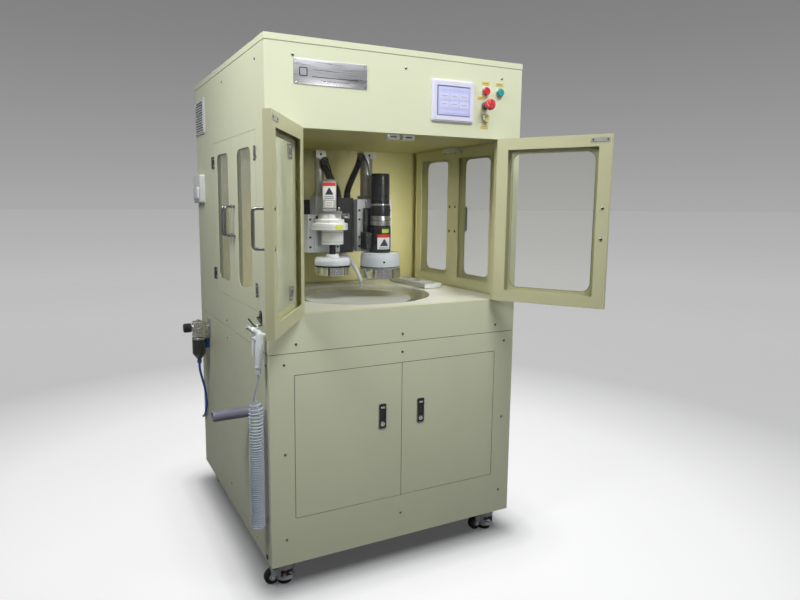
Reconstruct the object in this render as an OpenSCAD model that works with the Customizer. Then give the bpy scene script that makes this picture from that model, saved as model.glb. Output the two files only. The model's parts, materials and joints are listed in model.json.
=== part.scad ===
// Wafer polishing cabinet: a sheet-metal enclosure on levelling casters with a turntable,
// a polishing head, a conditioning head, glazed doors and a service gun on a coiled hose.
// Millimetres, +Z up, +X to the machine's right, +Y to its rear.
// The origin is the centre of the footprint, on the floor.

/* [Cabinet] */
// Width of the cabinet
cab_w = 920; // [900:1:960]
// Depth of the cabinet
cab_d = 950; // [940:1:980]
// Height of the cabinet body above its casters
body_h = 1614; // [1610:1:1640]
// Height of the casters under the body
caster_h = 86; // [86:1:90]
// Thickness of the folded sheet
sheet = 2; // [1.5:0.5:2.5]
// Height of the lower compartment
lower_h = 685; // [680:1:700]
// Height of the deck above the body's bottom edge
deck_h = 803; // [800:1:810]
// Height of the chamber's opening
open_h = 554; // [550:1:560]
// Thickness of the roof lip
roof_t = 18; // [12:1:24]

/* [Doors] */
// Width of the front opening
front_open_w = 744; // [740:1:748]
// Depth of every glazed door
door_t = 22; // [20:1:24]
// Gap around an inset door
door_gap = 1; // [1:0.5:2]
// How far the front doors stand open
front_angle = 122; // [90:1:150]
// Width of the folded flange round a door's inner face
flange_w = 38; // [30:1:42]
// Corner radius of the windows
window_r = 28; // [15:1:35]
// Length of a side opening
side_open_l = 564; // [560:1:570]
// Distance from the cabinet's front to a side opening
side_open_y = 93; // [90:1:96]
// Half width of the lower front opening
lower_open_half = 380; // [370:1:385]

/* [Process] */
// Radius of the polishing pad
pad_r = 200; // [180:1:203]
// Radius of the catch bowl
bowl_r = 270; // [265:1:275]
// Distance from the cabinet's front to the turntable's axis
table_y = 345; // [340:1:350]
// Sideways place of the conditioning head
cond_x = -101; // [-104:1:-98]
// Sideways place of the polishing head
polish_x = 95; // [92:1:98]
// Height of the pad above the deck's level, negative below it
pad_level = -16; // [-20:1:-12]
// Radius of the polishing head's retaining ring
polish_ring_r = 78; // [70:1:79]
// Radius of the conditioning disc
cond_ring_r = 64; // [55:1:66]

/* [Fittings] */
// Radius of the emergency stop's mushroom
stop_r = 18.5; // [16:0.5:20]
// Radius of the push buttons
button_r = 13; // [11:0.1:13.2]
// Outer radius of the drain pipe
drain_r = 17; // [15:0.5:18]
// How far the drain pipe stands out
drain_l = 128; // [100:1:150]
// Radius of the blue air tube
air_r = 5; // [4:0.5:5]
// Radius of the gun's hose
hose_r = 3; // [2.5:0.5:3]
// Outer radius of the hose's coil
coil_r = 23.5; // [20:0.5:24]

/* [Hidden] */

$fn = 48;
eps = 0.1;
cream = [0.87, 0.86, 0.66];
steel = [0.75, 0.76, 0.78];
dark = [0.12, 0.12, 0.13];
grey_paint = [0.72, 0.74, 0.76];
off_white = [0.93, 0.93, 0.91];
half_w = cab_w / 2;
half_d = cab_d / 2;
front = -half_d;
rear = half_d;
floor_h = caster_h;
top_h = caster_h + body_h;
seam_z = floor_h + lower_h;
deck_z = floor_h + deck_h;
open_top = deck_z + open_h;
roof_z = top_h - roof_t;
front_half = front_open_w / 2;
side_y0 = front + side_open_y;
side_y1 = side_y0 + side_open_l;
side_mid = (side_y0 + side_y1) / 2;
liner_y = front + 708;
table = [0, front + table_y, 0];
pad_z = deck_z + pad_level;
head_y = front + 350;
hinge_out = 4;
hinge_r = 3.5;
pin_r = 1.5;
hinge_zs = [66, 484];
lower_door_w = lower_open_half - 3;
lower_door_h = 462;
lower_door_z = floor_h + 151;
lower_door_t = 20;
lower_pin_x = lower_open_half - 7;
lower_pin_in = 6;
lock_x = 73;
lock_z = floor_h + 440;
caster_x = half_w - 60;
caster_y = half_d - 60;
wheel_r = 25;
wheel_off = 43;

// ---------- helpers ----------

// A rounded rectangle centred on the origin
module round_rect(w, h, r) {
    square([w - 2 * r, h], center = true);
    square([w, h - 2 * r], center = true);
    for (sx = [-1, 1], sy = [-1, 1]) {
        translate([sx * (w / 2 - r), sy * (h / 2 - r)])
            circle(r);
    }
}

// A box given by its low and high corners
module block(lo, hi) {
    translate(lo)
        cube(hi - lo);
}

// Children drawn in XY stand on the front face and rise out of it
module on_front(x, z, out = 0) {
    translate([x, front - out, z])
        rotate([90, 0, 0])
            children();
}

// Children drawn in XY stand on the left face and rise out of it
module on_left(y, z, out = 0) {
    translate([-half_w - out, y, z])
        rotate([90, 0, -90])
            children();
}

module both_sides() {
    children();
    mirror([1, 0, 0])
        children();
}

// A round-headed machine screw, seen from outside as a low dome
module screw() {
    translate([0, 0, eps])
        union() {
            cylinder(h = 1.2, r = 4.6);
            cylinder(h = 2.4, r = 3.4);
        }
}

function unit(v) = v / norm(v);
function tangent(p, i) =
    unit(p[min(i + 1, len(p) - 1)] - p[max(i - 1, 0)]);
// Points that round the corner b between a and c, leaving the lines k before and after it
function bend(a, b, c, k) =
    let (s = b + k * unit(a - b), e = b + k * unit(c - b))
        [for (t = [0 : 0.25 : 1]) (1 - t) * (1 - t) * s + 2 * t * (1 - t) * b + t * t * e];
function carried(n, t) = unit(n - (n * t) * t);
function frames(p, n, i = 0, out = []) =
    i == len(p) ? out : let (m = carried(n, tangent(p, i))) frames(p, m, i + 1, concat(out, [m]));

// A round tube swept along a list of points
module sweep_tube(p, r, sides = 8, start = [0.31, 0.87, 0.38]) {
    ns = frames(p, start);
    pts = [
        for (i = [0 : len(p) - 1], k = [0 : sides - 1])
            let (t = tangent(p, i), n = ns[i], b = cross(t, n), a = 360 * k / sides)
                p[i] + r * (cos(a) * n + sin(a) * b)
    ];
    last = (len(p) - 1) * sides;
    quads = [
        for (i = [0 : len(p) - 2], k = [0 : sides - 1])
            let (j = (k + 1) % sides)
                [i * sides + k, i * sides + j, (i + 1) * sides + j, (i + 1) * sides + k]
    ];
    caps = [[for (k = [sides - 1 : -1 : 0]) k], [for (k = [0 : sides - 1]) last + k]];
    faces = [for (f = concat(quads, caps)) [for (k = [len(f) - 1 : -1 : 0]) f[k]]];
    polyhedron(pts, faces);
}

// ---------- structure ----------

tube_w = 40;
part_gap = 0.2;
post_x = half_w - sheet - tube_w - 1;
post_y = half_d - sheet - tube_w - 1;

// Clear lengths between the posts
span_x = 2 * (post_x - part_gap);
span_y = 2 * (post_y - part_gap);

module ring_of_tubes(z) {
    for (s = [-1, 1]) {
        translate([-span_x / 2, s > 0 ? post_y : -post_y - tube_w, z])
            cube([span_x, tube_w, tube_w]);
        translate([s > 0 ? post_x : -post_x - tube_w, -span_y / 2, z])
            cube([tube_w, span_y, tube_w]);
    }
}

module levelling_foot() {
    cylinder(h = 12, r = 22);
    cylinder(h = caster_h - 2, r = 8);
    translate([-36, -36, caster_h - 4])
        cube([72, 72, 4 + sheet - part_gap]);
}

module base_frame() {
    rail_z = deck_z - 150;
    color(dark) {
        ring_of_tubes(floor_h + sheet);
        ring_of_tubes(top_h - roof_t - tube_w - 1);
        // floor plate of the lower compartment
        translate([-span_x / 2, -span_y / 2, floor_h + tube_w])
            cube([span_x, span_y, sheet]);
        for (sx = [-1, 1], sy = [-1, 1]) {
            low_x = sx > 0 ? post_x : -post_x - tube_w;
            low_y = sy > 0 ? post_y : -post_y - tube_w;
            translate([low_x, low_y, floor_h + sheet])
                cube([tube_w, tube_w, body_h - roof_t - sheet - 1]);
            translate([sx * caster_x, sy * caster_y, 0])
                levelling_foot();
        }
        // rails under the deck that carry the turntable's bearing plate
        for (s = [-1, 1]) {
            translate([-span_x / 2, table[1] + s * 120 - 15, rail_z])
                cube([span_x, 30, 30]);
            translate([s > 0 ? post_x : -post_x - tube_w, -span_y / 2, rail_z])
                cube([tube_w, span_y, 30]);
        }
    }
}

// Drilled block behind the panel that a lower door's pivot pin turns in
module pivot_bracket(x, z) {
    translate([x - 13, front + sheet - 0.5, z])
        cube([26, 18.5, 8]);
}

module lower_front_panel() {
    color(cream)
        difference() {
            union() {
                on_front(0, floor_h + lower_h / 2 - 1, -sheet)
                    linear_extrude(sheet)
                        square([cab_w, lower_h - 2], center = true);
                for (s = [-1, 1], z = [lower_door_z - 10, lower_door_z + lower_door_h + 2]) {
                    pivot_bracket(s * lower_pin_x, z);
                }
            }
            on_front(0, floor_h + 382, -sheet - 1)
                linear_extrude(sheet + 2)
                    square([2 * lower_open_half, lower_door_h + 4], center = true);
            for (s = [-1, 1]) {
                translate([s * lower_pin_x, front + lower_pin_in, lower_door_z - 20])
                    cylinder(h = lower_door_h + 40, r = 3.06);
            }
        }
}

// A rectangular collar folded inwards round an opening
module collar(w, h, depth) {
    linear_extrude(depth)
        difference() {
            square([w + 2 * sheet, h + 2 * sheet], center = true);
            square([w, h], center = true);
        }
}

button_spots = [[308, 1511], [366, 1511], [309, 1423]];
stop_spot = [306, 1465];
stop_stem_r = 10;

module upper_front_panel() {
    panel_h = roof_z - seam_z;
    color(cream)
        difference() {
            union() {
                on_front(0, (roof_z + seam_z) / 2, -sheet)
                    linear_extrude(sheet)
                        square([cab_w, panel_h], center = true);
                on_front(0, (deck_z + open_top) / 2, -25)
                    collar(front_open_w, open_h, 25);
            }
            on_front(0, (deck_z + open_top) / 2, -26)
                linear_extrude(30)
                    square([front_open_w, open_h], center = true);
            for (b = button_spots) {
                on_front(b[0], floor_h + b[1], -sheet - 1)
                    cylinder(h = sheet + 2, r = button_r + 0.8);
            }
            on_front(stop_spot[0], floor_h + stop_spot[1], -sheet - 1)
                cylinder(h = sheet + 2, r = stop_stem_r + 0.8);
        }
}

module lower_side_and_rear_panels() {
    color(cream) {
        both_sides()
            block([-half_w, front + sheet + 0.2, floor_h], [-half_w + sheet, rear - sheet - 0.2, seam_z - 2]);
        block([-half_w, rear - sheet, floor_h], [half_w, rear, seam_z - 2]);
        difference() {
            block([-half_w, rear - sheet, seam_z], [half_w, rear, roof_z]);
            for (i = [0 : 9], s = [-1, 1]) {
                block(
                    [s * 200 - 90, rear - sheet - 1, floor_h + 1400 + i * 14],
                    [s * 200 + 90, rear + 1, floor_h + 1405 + i * 14]
                );
            }
        }
    }
}

module left_wall() {
    difference() {
        union() {
            block([-half_w, front + sheet + 0.2, seam_z], [-half_w + sheet, rear - sheet - 0.2, roof_z]);
            on_left(side_mid, (deck_z + open_top) / 2, -25)
                collar(side_open_l, open_h, 25);
        }
        on_left(side_mid, (deck_z + open_top) / 2, -26)
            linear_extrude(30)
                square([side_open_l, open_h], center = true);
    }
}

module upper_side_walls() {
    color(cream) {
        difference() {
            left_wall();
            on_left(front + 860, floor_h + 1477.5, -sheet - 1)
                linear_extrude(sheet + 2)
                    square([146, 124], center = true);
        }
        mirror([1, 0, 0])
            left_wall();
    }
}

module chamber_liner() {
    color(cream)
        difference() {
            union() {
                block(
                    [-half_w + sheet + 0.5, front + 26, open_top + sheet + 0.5],
                    [half_w - sheet - 0.5, liner_y + sheet, open_top + 2 * sheet + 0.5]
                );
                block(
                    [-half_w + sheet + 0.5, liner_y, deck_z + 0.5],
                    [half_w - sheet - 0.5, liner_y + sheet, open_top + 2 * sheet + 0.5]
                );
            }
            for (sx = [-1, 1]) {
                block(
                    [sx > 0 ? post_x - 1 : -half_w, front, open_top - 10],
                    [sx > 0 ? half_w : -post_x + 1, front + 46, open_top + 10]
                );
            }
        }
}

module top_cover() {
    color(cream)
        difference() {
            block([-half_w - 1, front - 1, roof_z + eps], [half_w + 1, rear + 1, top_h]);
            block([-half_w + 1, front + 1, roof_z - 1], [half_w - 1, rear - 1, top_h - sheet]);
        }
}

module deck() {
    bowl_depth = 74;
    color(cream)
        difference() {
            union() {
                block(
                    [-half_w + sheet + 0.5, front + sheet + 0.5, deck_z - 2 * sheet],
                    [half_w - sheet - 0.5, liner_y + sheet, deck_z - sheet - 0.2]
                );
                translate([table[0], table[1], deck_z - bowl_depth])
                    cylinder(h = bowl_depth - sheet - 0.2, r = bowl_r + sheet);
            }
            translate([table[0], table[1], deck_z - bowl_depth + sheet])
                cylinder(h = bowl_depth + 5, r = bowl_r);
            translate([table[0], table[1], deck_z - bowl_depth - 1])
                cylinder(h = sheet + 2, r = 66);
            for (sx = [-1, 1]) {
                block(
                    [sx > 0 ? post_x - 1 : -half_w, front, deck_z - 10],
                    [sx > 0 ? half_w : -post_x + 1, front + 46, deck_z + 10]
                );
            }
        }
}

// ---------- fixtures ----------

module touch_panel() {
    color(off_white)
        on_front(176, floor_h + 1469, eps)
            difference() {
                union() {
                    linear_extrude(6)
                        round_rect(162, 132, 5);
                    linear_extrude(8)
                        round_rect(152, 122, 5);
                }
                translate([5, 0, 7])
                    linear_extrude(5)
                        square([122, 88], center = true);
            }
}

// Fixed half of a leaf hinge: the knuckles' axis is the local origin's Z,
// the leaf runs towards -x on the face at y = hinge_out
module fixed_leaf() {
    for (z = [-22, 8]) {
        translate([0, 0, z])
            cylinder(h = 14, r = hinge_r);
    }
    translate([0, 0, -22])
        cylinder(h = 44, r = pin_r);
    difference() {
        translate([-22, hinge_out - 2 - eps, -22])
            cube([22, 2, 44]);
        translate([-3.9, -5, -8.3])
            cube([10, 20, 16.6]);
        translate([-0.5, -5, -30])
            cube([10, 20, 60]);
    }
}

// Moving half: the middle knuckle and a leaf running towards +x
module moving_leaf() {
    difference() {
        union() {
            translate([0, 0, -7.8])
                cylinder(h = 15.6, r = hinge_r);
            translate([0.5, hinge_out - 2 - eps, -22])
                cube([21.5, 2, 44]);
        }
        translate([0, 0, -30])
            cylinder(h = 60, r = pin_r + 0.06);
        for (z = [-30, 7.8]) {
            translate([-5, -5, z])
                cube([8.9, 8.9, 22.2]);
        }
    }
}

// Places children at a door's hinge: local +x runs along the closed door,
// local -y points out of the cabinet
module at_front_hinge() {
    translate([-front_half, front - hinge_out, deck_z])
        children();
}

module at_side_rear_hinge() {
    translate([-half_w - hinge_out, side_y1, deck_z])
        rotate([0, 0, -90])
            children();
}

module at_side_front_hinge() {
    translate([-half_w - hinge_out, side_y0, deck_z])
        rotate([0, 0, -90])
            mirror([1, 0, 0])
                children();
}

module fixed_leaves() {
    for (z = hinge_zs) {
        both_sides() {
            at_front_hinge()
                translate([0, 0, z])
                    fixed_leaf();
            at_side_rear_hinge()
                translate([0, 0, z])
                    fixed_leaf();
            at_side_front_hinge()
                translate([0, 0, z])
                    fixed_leaf();
        }
    }
}

front_screws = [
    [-412, 650], [0, 650], [419, 650], [-412, 366], [419, 366], [-410, 86], [0, 86], [415, 86],
    [-373, 711], [0, 711], [378, 711], [0, 1558], [374, 1558], [-374, 1560]
];
side_screws = [[-387, 1557], [15, 1557], [25, 708], [18, 646], [14, 80], [-325, 35], [-445, 646], [440, 646]];

module button_bezel(hole_r, outer_r, height) {
    translate([0, 0, eps])
        difference() {
            union() {
                cylinder(h = height - 2, r = outer_r);
                cylinder(h = height, r = outer_r - 0.7);
            }
            translate([0, 0, -1])
                cylinder(h = height + 2, r = hole_r);
        }
}

// Corners of the bent wire hook that holds the spray gun by the ring on its head
hook_points = [
    [-half_w - 3.2, front + 70, deck_z - 12], [-half_w - 13, front + 70, deck_z - 12],
    [-half_w - 13, front + 15, deck_z - 28], [-half_w - 37, front + 15, deck_z - 28.5],
    [-half_w - 54, front + 15, deck_z - 5]
];

hook_wire = [
    hook_points[0],
    for (i = [1 : 3]) each bend(hook_points[i - 1], hook_points[i], hook_points[i + 1], 4.5),
    hook_points[4]
];

module gun_hook() {
    on_left(front + 70, deck_z - 12, eps)
        linear_extrude(3)
            union() {
                translate([0, 8])
                    circle(12);
                translate([0, -8])
                    circle(12);
                square([24, 16], center = true);
            }
    sweep_tube(hook_wire, 2.2, 12);
}

module cabinet_hardware() {
    color(steel) {
        for (s = front_screws) {
            on_front(s[0], floor_h + s[1])
                screw();
        }
        for (s = side_screws) {
            both_sides()
                on_left(s[0], floor_h + s[1])
                    screw();
        }
        fixed_leaves();
        // magnetic catches under the header and over the side doors
        for (s = [-1, 1]) {
            block([s * 28 - 22, front + 24, open_top - 16], [s * 28 + 22, front + 44, open_top - eps]);
        }
        both_sides()
            block(
                [-half_w + 24, side_mid - 45, open_top - 16],
                [-half_w + 44, side_mid + 45, open_top - eps]
            );
        // push-button bezels
        for (b = button_spots) {
            on_front(b[0], floor_h + b[1])
                button_bezel(button_r + 0.5, 15, 6);
        }
        on_front(stop_spot[0], floor_h + stop_spot[1])
            button_bezel(stop_stem_r + 0.5, 14.5, 10);
        gun_hook();
        // hose fitting at the foot of the coil
        translate([-half_w - 12, front + 50, floor_h + 136])
            rotate([0, 90, 0])
                difference() {
                    cylinder(h = 12 - eps, r = 8);
                    translate([0, 0, -1])
                        cylinder(h = 5, r = hose_r + 0.4);
                }
        // bulkhead elbow for the air tube on the rear panel
        translate([-half_w + 62, rear + eps, floor_h + 192])
            union() {
                rotate([-90, 0, 0])
                    cylinder(h = 30, r = 9);
                translate([0, 30, 0])
                    sphere(9);
                translate([-10, 30, 0])
                    rotate([0, 90, 0])
                        cylinder(h = 10, r = 9);
            }
    }
}

module vent_grille() {
    slots = 12;
    pitch = 9.6;
    color(grey_paint)
        on_left(front + 860, floor_h + 1477.5, eps)
            difference() {
                union() {
                    linear_extrude(4)
                        round_rect(160, 135, 4);
                    linear_extrude(6)
                        square([142, 120], center = true);
                }
                for (i = [0 : slots - 1]) {
                    translate([0, (i - (slots - 1) / 2) * pitch, -1])
                        linear_extrude(9)
                            square([132, 5], center = true);
                }
            }
}

module service_box() {
    color(off_white)
        on_left(front + 878, floor_h + 1193, eps)
            union() {
                linear_extrude(20)
                    round_rect(124, 114, 6);
                translate([0, -18, 0])
                    linear_extrude(28)
                        round_rect(84, 52, 10);
            }
}

drain_y = front + 205;
drain_z = floor_h + 450;

module drain_pipe() {
    color([0.5, 0.48, 0.56])
        difference() {
            union() {
                translate([-half_w - drain_l, drain_y, drain_z])
                    rotate([0, 90, 0])
                        cylinder(h = drain_l - eps, r = drain_r);
                translate([-half_w - 6, drain_y, drain_z])
                    rotate([0, 90, 0])
                        cylinder(h = 6 - eps, r = drain_r + 6);
            }
            translate([-half_w - drain_l - 1, drain_y, drain_z])
                rotate([0, 90, 0])
                    cylinder(h = drain_l - 8, r = drain_r - 3);
        }
}

reg_x = -half_w - 46;
reg_y = front + 800;
reg_z = floor_h + 627;

module regulator_body() {
    block([reg_x - 22, reg_y - 21, reg_z - 37], [reg_x + 26, reg_y + 21, reg_z + 30]);
    translate([reg_x - 30, reg_y, reg_z + 5])
        rotate([0, 90, 0])
            cylinder(h = 71, r = 17);
    translate([reg_x, reg_y - 30, reg_z - 6])
        rotate([-90, 0, 0])
            cylinder(h = 60, r = 11);
    translate([reg_x, reg_y, reg_z + 26])
        cylinder(h = 10, r = 9);
    translate([reg_x, reg_y, reg_z - 109])
        cylinder(h = 75, r = 26);
    translate([reg_x, reg_y, reg_z - 128])
        cylinder(h = 22, r1 = 9, r2 = 20);
    translate([reg_x, reg_y, reg_z - 145])
        cylinder(h = 20, r = 8.5);
}

module air_regulator() {
    color(steel) {
        // wall bracket
        block([-half_w - 4, reg_y - 24, reg_z - 36], [-half_w - eps, reg_y + 24, reg_z + 38]);
        // body with its port bosses, bonnet and bowl guard, and the supply port in its rear boss
        difference() {
            regulator_body();
            translate([reg_x, reg_y + 18, reg_z - 6])
                rotate([-90, 0, 0])
                    cylinder(h = 13, r = 5.7);
        }
        // outlet elbow between the bowl and the wall
        translate([-half_w - 10, reg_y + 14, reg_z - 86])
            cylinder(h = 40, r = 9.5);
    }
}

module regulator_knob() {
    color(dark)
        translate([reg_x - 30.4, reg_y, reg_z + 5])
            rotate([0, -90, 0])
                difference() {
                    union() {
                        cylinder(h = 26, r = 18.5);
                        cylinder(h = 29, r = 16.5);
                    }
                    for (k = [0 : 15]) {
                        rotate([0, 0, k * 22.5])
                            translate([19.3, 0, 4])
                                cylinder(h = 30, r = 1.8);
                    }
                }
}

module loading_tray() {
    color(grey_paint)
        difference() {
            block([295, front + 345, deck_z], [375, front + 640, deck_z + 17]);
            for (i = [0 : 2]) {
                translate([335, front + 395 + i * 97, deck_z + 13])
                    cylinder(h = 10, r = 32);
            }
        }
}

module platen_drive() {
    color(grey_paint) {
        difference() {
            union() {
                translate([0, 0, deck_z - 190])
                    translate(table)
                        cylinder(h = 100, r = 62);
                translate([-90, table[1] - 100, deck_z - 170])
                    cube([180, 200, 12]);
                translate([-62, table[1] - 62, deck_z - 420])
                    cube([124, 124, 235]);
                for (sx = [-1, 1]) {
                    translate([sx * 75 - 15, table[1] - 136, deck_z - 168])
                        cube([30, 272, 17.5]);
                }
            }
            translate([0, 0, deck_z - 260])
                translate(table)
                    cylinder(h = 200, r = 25.06);
        }
    }
}

// ---------- glazed doors ----------

// A folded door pan with a rounded window in its outer sheet and a flanged inner face.
// Local frame: hinge axis on Z at the origin, closed door along +x, outer face at y = hinge_out.
module door_pan(w, h, win_w, win_h, win_z) {
    translate([door_gap, hinge_out, door_gap])
        difference() {
            cube([w, door_t, h]);
            translate([sheet, sheet, sheet])
                cube([w - 2 * sheet, door_t - 2 * sheet, h - 2 * sheet]);
            translate([flange_w, door_t - sheet - 1, flange_w])
                cube([w - 2 * flange_w, sheet + 2, h - 2 * flange_w]);
            translate([w / 2, sheet + 1, win_z])
                rotate([90, 0, 0])
                    linear_extrude(sheet + 2)
                        round_rect(win_w, win_h, window_r);
        }
}

module door_pane(w, h, win_w, win_h, win_z) {
    color([0.85, 0.9, 0.88, 0.35])
        translate([door_gap + w / 2, hinge_out + sheet + 4.3, door_gap + win_z])
            rotate([90, 0, 0])
                linear_extrude(4)
                    square([win_w + 16, win_h + 16], center = true);
}

// A bow handle standing on the door's outer face
module bow_handle(x, z) {
    handle_r = 4.5;
    span = 98;
    proud = 33;
    translate([x, hinge_out - eps, z])
        union() {
            for (s = [-1, 1]) {
                translate([0, 0, s * span / 2])
                    rotate([90, 0, 0])
                        cylinder(h = proud, r = handle_r);
                translate([0, -proud, s * span / 2])
                    sphere(handle_r);
                translate([0, 0, s * span / 2])
                    rotate([90, 0, 0])
                        cylinder(h = 3, r = handle_r + 1.5);
            }
            translate([0, -proud, -span / 2])
                cylinder(h = span, r = handle_r);
        }
}

module door_leaves() {
    for (z = hinge_zs) {
        translate([0, 0, z])
            moving_leaf();
    }
}

front_door_w = front_half - 1.5 * door_gap;
front_door_h = open_h - 2 * door_gap;
front_win_w = front_door_w - 100;
front_win_h = front_door_h - 100;
side_door_w = side_open_l / 2 - 1.5 * door_gap;
side_win_w = 162;
side_win_h = 453;
side_win_z = 54 + side_win_h / 2;

// Striker for a magnetic catch, on the inner face at the top of a door's free edge
module striker(w) {
    translate([door_gap + w - 63, hinge_out + door_t + eps, front_door_h - 23])
        cube([57, 1.2, 14]);
}

module front_door() {
    color(cream)
        door_pan(front_door_w, front_door_h, front_win_w, front_win_h, front_door_h / 2);
    color(steel) {
        striker(front_door_w);
        bow_handle(front_door_w - 18, 273);
        door_leaves();
    }
}

module side_door() {
    color(cream)
        door_pan(side_door_w, front_door_h, side_win_w, side_win_h, side_win_z);
    color(steel) {
        striker(side_door_w);
        bow_handle(side_door_w - 18, 273);
        door_leaves();
    }
}

module front_pane() {
    door_pane(front_door_w, front_door_h, front_win_w, front_win_h, front_door_h / 2);
}

module side_pane() {
    door_pane(side_door_w, front_door_h, side_win_w, side_win_h, side_win_z);
}

module front_left_door() {
    at_front_hinge()
        rotate([0, 0, -front_angle])
            front_door();
}

module front_left_window() {
    at_front_hinge()
        rotate([0, 0, -front_angle])
            front_pane();
}

module front_right_door() {
    mirror([1, 0, 0])
        front_left_door();
}

module front_right_window() {
    mirror([1, 0, 0])
        front_left_window();
}

module left_front_door() {
    at_side_front_hinge()
        side_door();
}

module left_front_window() {
    at_side_front_hinge()
        side_pane();
}

module left_rear_door() {
    at_side_rear_hinge()
        side_door();
}

module left_rear_window() {
    at_side_rear_hinge()
        side_pane();
}

module right_front_door() {
    mirror([1, 0, 0])
        left_front_door();
}

module right_front_window() {
    mirror([1, 0, 0])
        left_front_window();
}

module right_rear_door() {
    mirror([1, 0, 0])
        left_rear_door();
}

module right_rear_window() {
    mirror([1, 0, 0])
        left_rear_window();
}

// ---------- lower doors ----------

// Left lower door with its lock case; the pins turn in the frame's brackets
module lower_left_door() {
    color(cream)
        difference() {
            translate([-lower_open_half + 2, front, lower_door_z])
                cube([lower_door_w, lower_door_t, lower_door_h]);
            translate([-lower_open_half + 4, front + sheet, lower_door_z + sheet])
                cube([lower_door_w - 4, lower_door_t, lower_door_h - 2 * sheet]);
            on_front(-lock_x, lock_z, -sheet - 1)
                linear_extrude(sheet + 2)
                    round_rect(22, 80, 4);
        }
    // pivot pins at the hinge edge
    color(steel)
        for (z = [lower_door_z - 8, lower_door_z + lower_door_h - 12]) {
            translate([-lower_pin_x, front + lower_pin_in, z])
                cylinder(h = 20, r = 3);
        }
    color(dark)
        difference() {
            union() {
                on_front(-lock_x, lock_z, eps)
                    linear_extrude(2)
                        round_rect(27, 85, 5);
                on_front(-lock_x, lock_z, -14)
                    linear_extrude(14)
                        round_rect(21, 79, 4);
            }
            on_front(-lock_x, lock_z + 12, -10)
                linear_extrude(14)
                    round_rect(17, 50, 2);
        }
}

module lower_right_door() {
    mirror([1, 0, 0])
        lower_left_door();
}

module left_lock_lever() {
    color(steel)
        on_front(-lock_x, lock_z + 12, -3)
            union() {
                linear_extrude(4)
                    round_rect(16, 48, 2);
                translate([0, 18, 0])
                    linear_extrude(7)
                        round_rect(16, 8, 2);
            }
}

module right_lock_lever() {
    mirror([1, 0, 0])
        left_lock_lever();
}

// ---------- process ----------

module platen() {
    color(steel)
        translate(table)
            union() {
                translate([0, 0, pad_z - 30])
                    cylinder(h = 25, r = pad_r + 3, $fn = 96);
                translate([0, 0, pad_z - 60])
                    cylinder(h = 32, r = 60);
                translate([0, 0, deck_z - 250])
                    cylinder(h = 180, r = 25);
            }
}

module polishing_pad() {
    color(off_white)
        translate([table[0], table[1], pad_z - 4.9])
            cylinder(h = 4.9, r = pad_r, $fn = 96);
}

polish_box = [[polish_x - 71.5, head_y + 50, floor_h + 955], [polish_x + 75.5, head_y + 120, floor_h + 1153]];
cond_box = [[cond_x - 76, head_y + 50, floor_h + 956], [cond_x + 51, head_y + 120, floor_h + 1095]];

module head_mount() {
    color(dark)
        union() {
            // plate behind both slides, and the box between them
            block(
                [cond_x - 76, head_y + 120.2, floor_h + 960],
                [polish_x + 75, head_y + 134, floor_h + 1150]
            );
            block(
                [cond_x + 56, head_y + 80, floor_h + 950],
                [polish_x - 76, head_y + 134, floor_h + 1158]
            );
            for (x = [cond_x - 30, polish_x]) {
                block([x - 30, head_y + 130, floor_h + 1020], [x + 30, liner_y - 0.2, floor_h + 1090]);
                block([x - 60, liner_y - 8, floor_h + 980], [x + 60, liner_y - 0.2, floor_h + 1130]);
            }
        }
}

module lift_cylinder(x, r, z0, z1) {
    translate([x, head_y + 100, z0])
        cylinder(h = z1 - z0 - 20, r = r);
    translate([x - r - 2, head_y + 100 - r - 2, z1 - 25])
        cube([2 * r + 4, 2 * r + 4, 25]);
    translate([x - r - 2, head_y + 100 - r - 2, z0])
        cube([2 * r + 4, 2 * r + 4 - 1, 14]);
}

// A slide housing with a pair of guide rails on its front
module slide_housing(b) {
    mid = (b[0][0] + b[1][0]) / 2;
    block(b[0], b[1]);
    for (s = [-1, 1]) {
        block([mid + s * 34 - 6, b[0][1] - 8, b[0][2] + 8], [mid + s * 34 + 6, b[0][1] + 1, b[1][2] - 8]);
    }
    for (z = [20, 56, 122, 156], x = [8, b[1][0] - b[0][0] - 8]) {
        if (b[0][2] + z < b[1][2] - 10)
            translate([b[0][0] + x, b[0][1] + 0.5, b[0][2] + z])
                rotate([90, 0, 0])
                    cylinder(h = 3, r = 4);
    }
    for (z = [20, 56, 122, 156]) {
        if (b[0][2] + z < b[1][2] - 10)
            translate([b[0][0] + 0.5, b[0][1] + 46, b[0][2] + z])
                rotate([0, -90, 0])
                    cylinder(h = 3, r = 4);
    }
}

module slide_units() {
    color(grey_paint) {
        union() {
            slide_housing(polish_box);
            lift_cylinder(polish_x - 10, 24, polish_box[1][2] - 1, floor_h + 1331);
        }
        union() {
            slide_housing(cond_box);
            block(
                [cond_x - 42, head_y + 56, cond_box[1][2] - 1],
                [cond_x + 20, head_y + 119, cond_box[1][2] + 67]
            );
            lift_cylinder(cond_x - 11, 17, cond_box[1][2] + 66, floor_h + 1330);
        }
    }
}

// Round stack on a vertical axis: rows of [low z, high z, radius]
module stack(rows) {
    for (row = rows) {
        translate([0, 0, row[0]])
            cylinder(h = row[1] - row[0], r = row[2]);
    }
}

polish_rows = [
    [953.5, 1055.5, 40], [1055, 1091.5, 37], [1091, 1129.5, 38], [1129, 1136.5, 35.5], [1136, 1248, 35]
];
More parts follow.
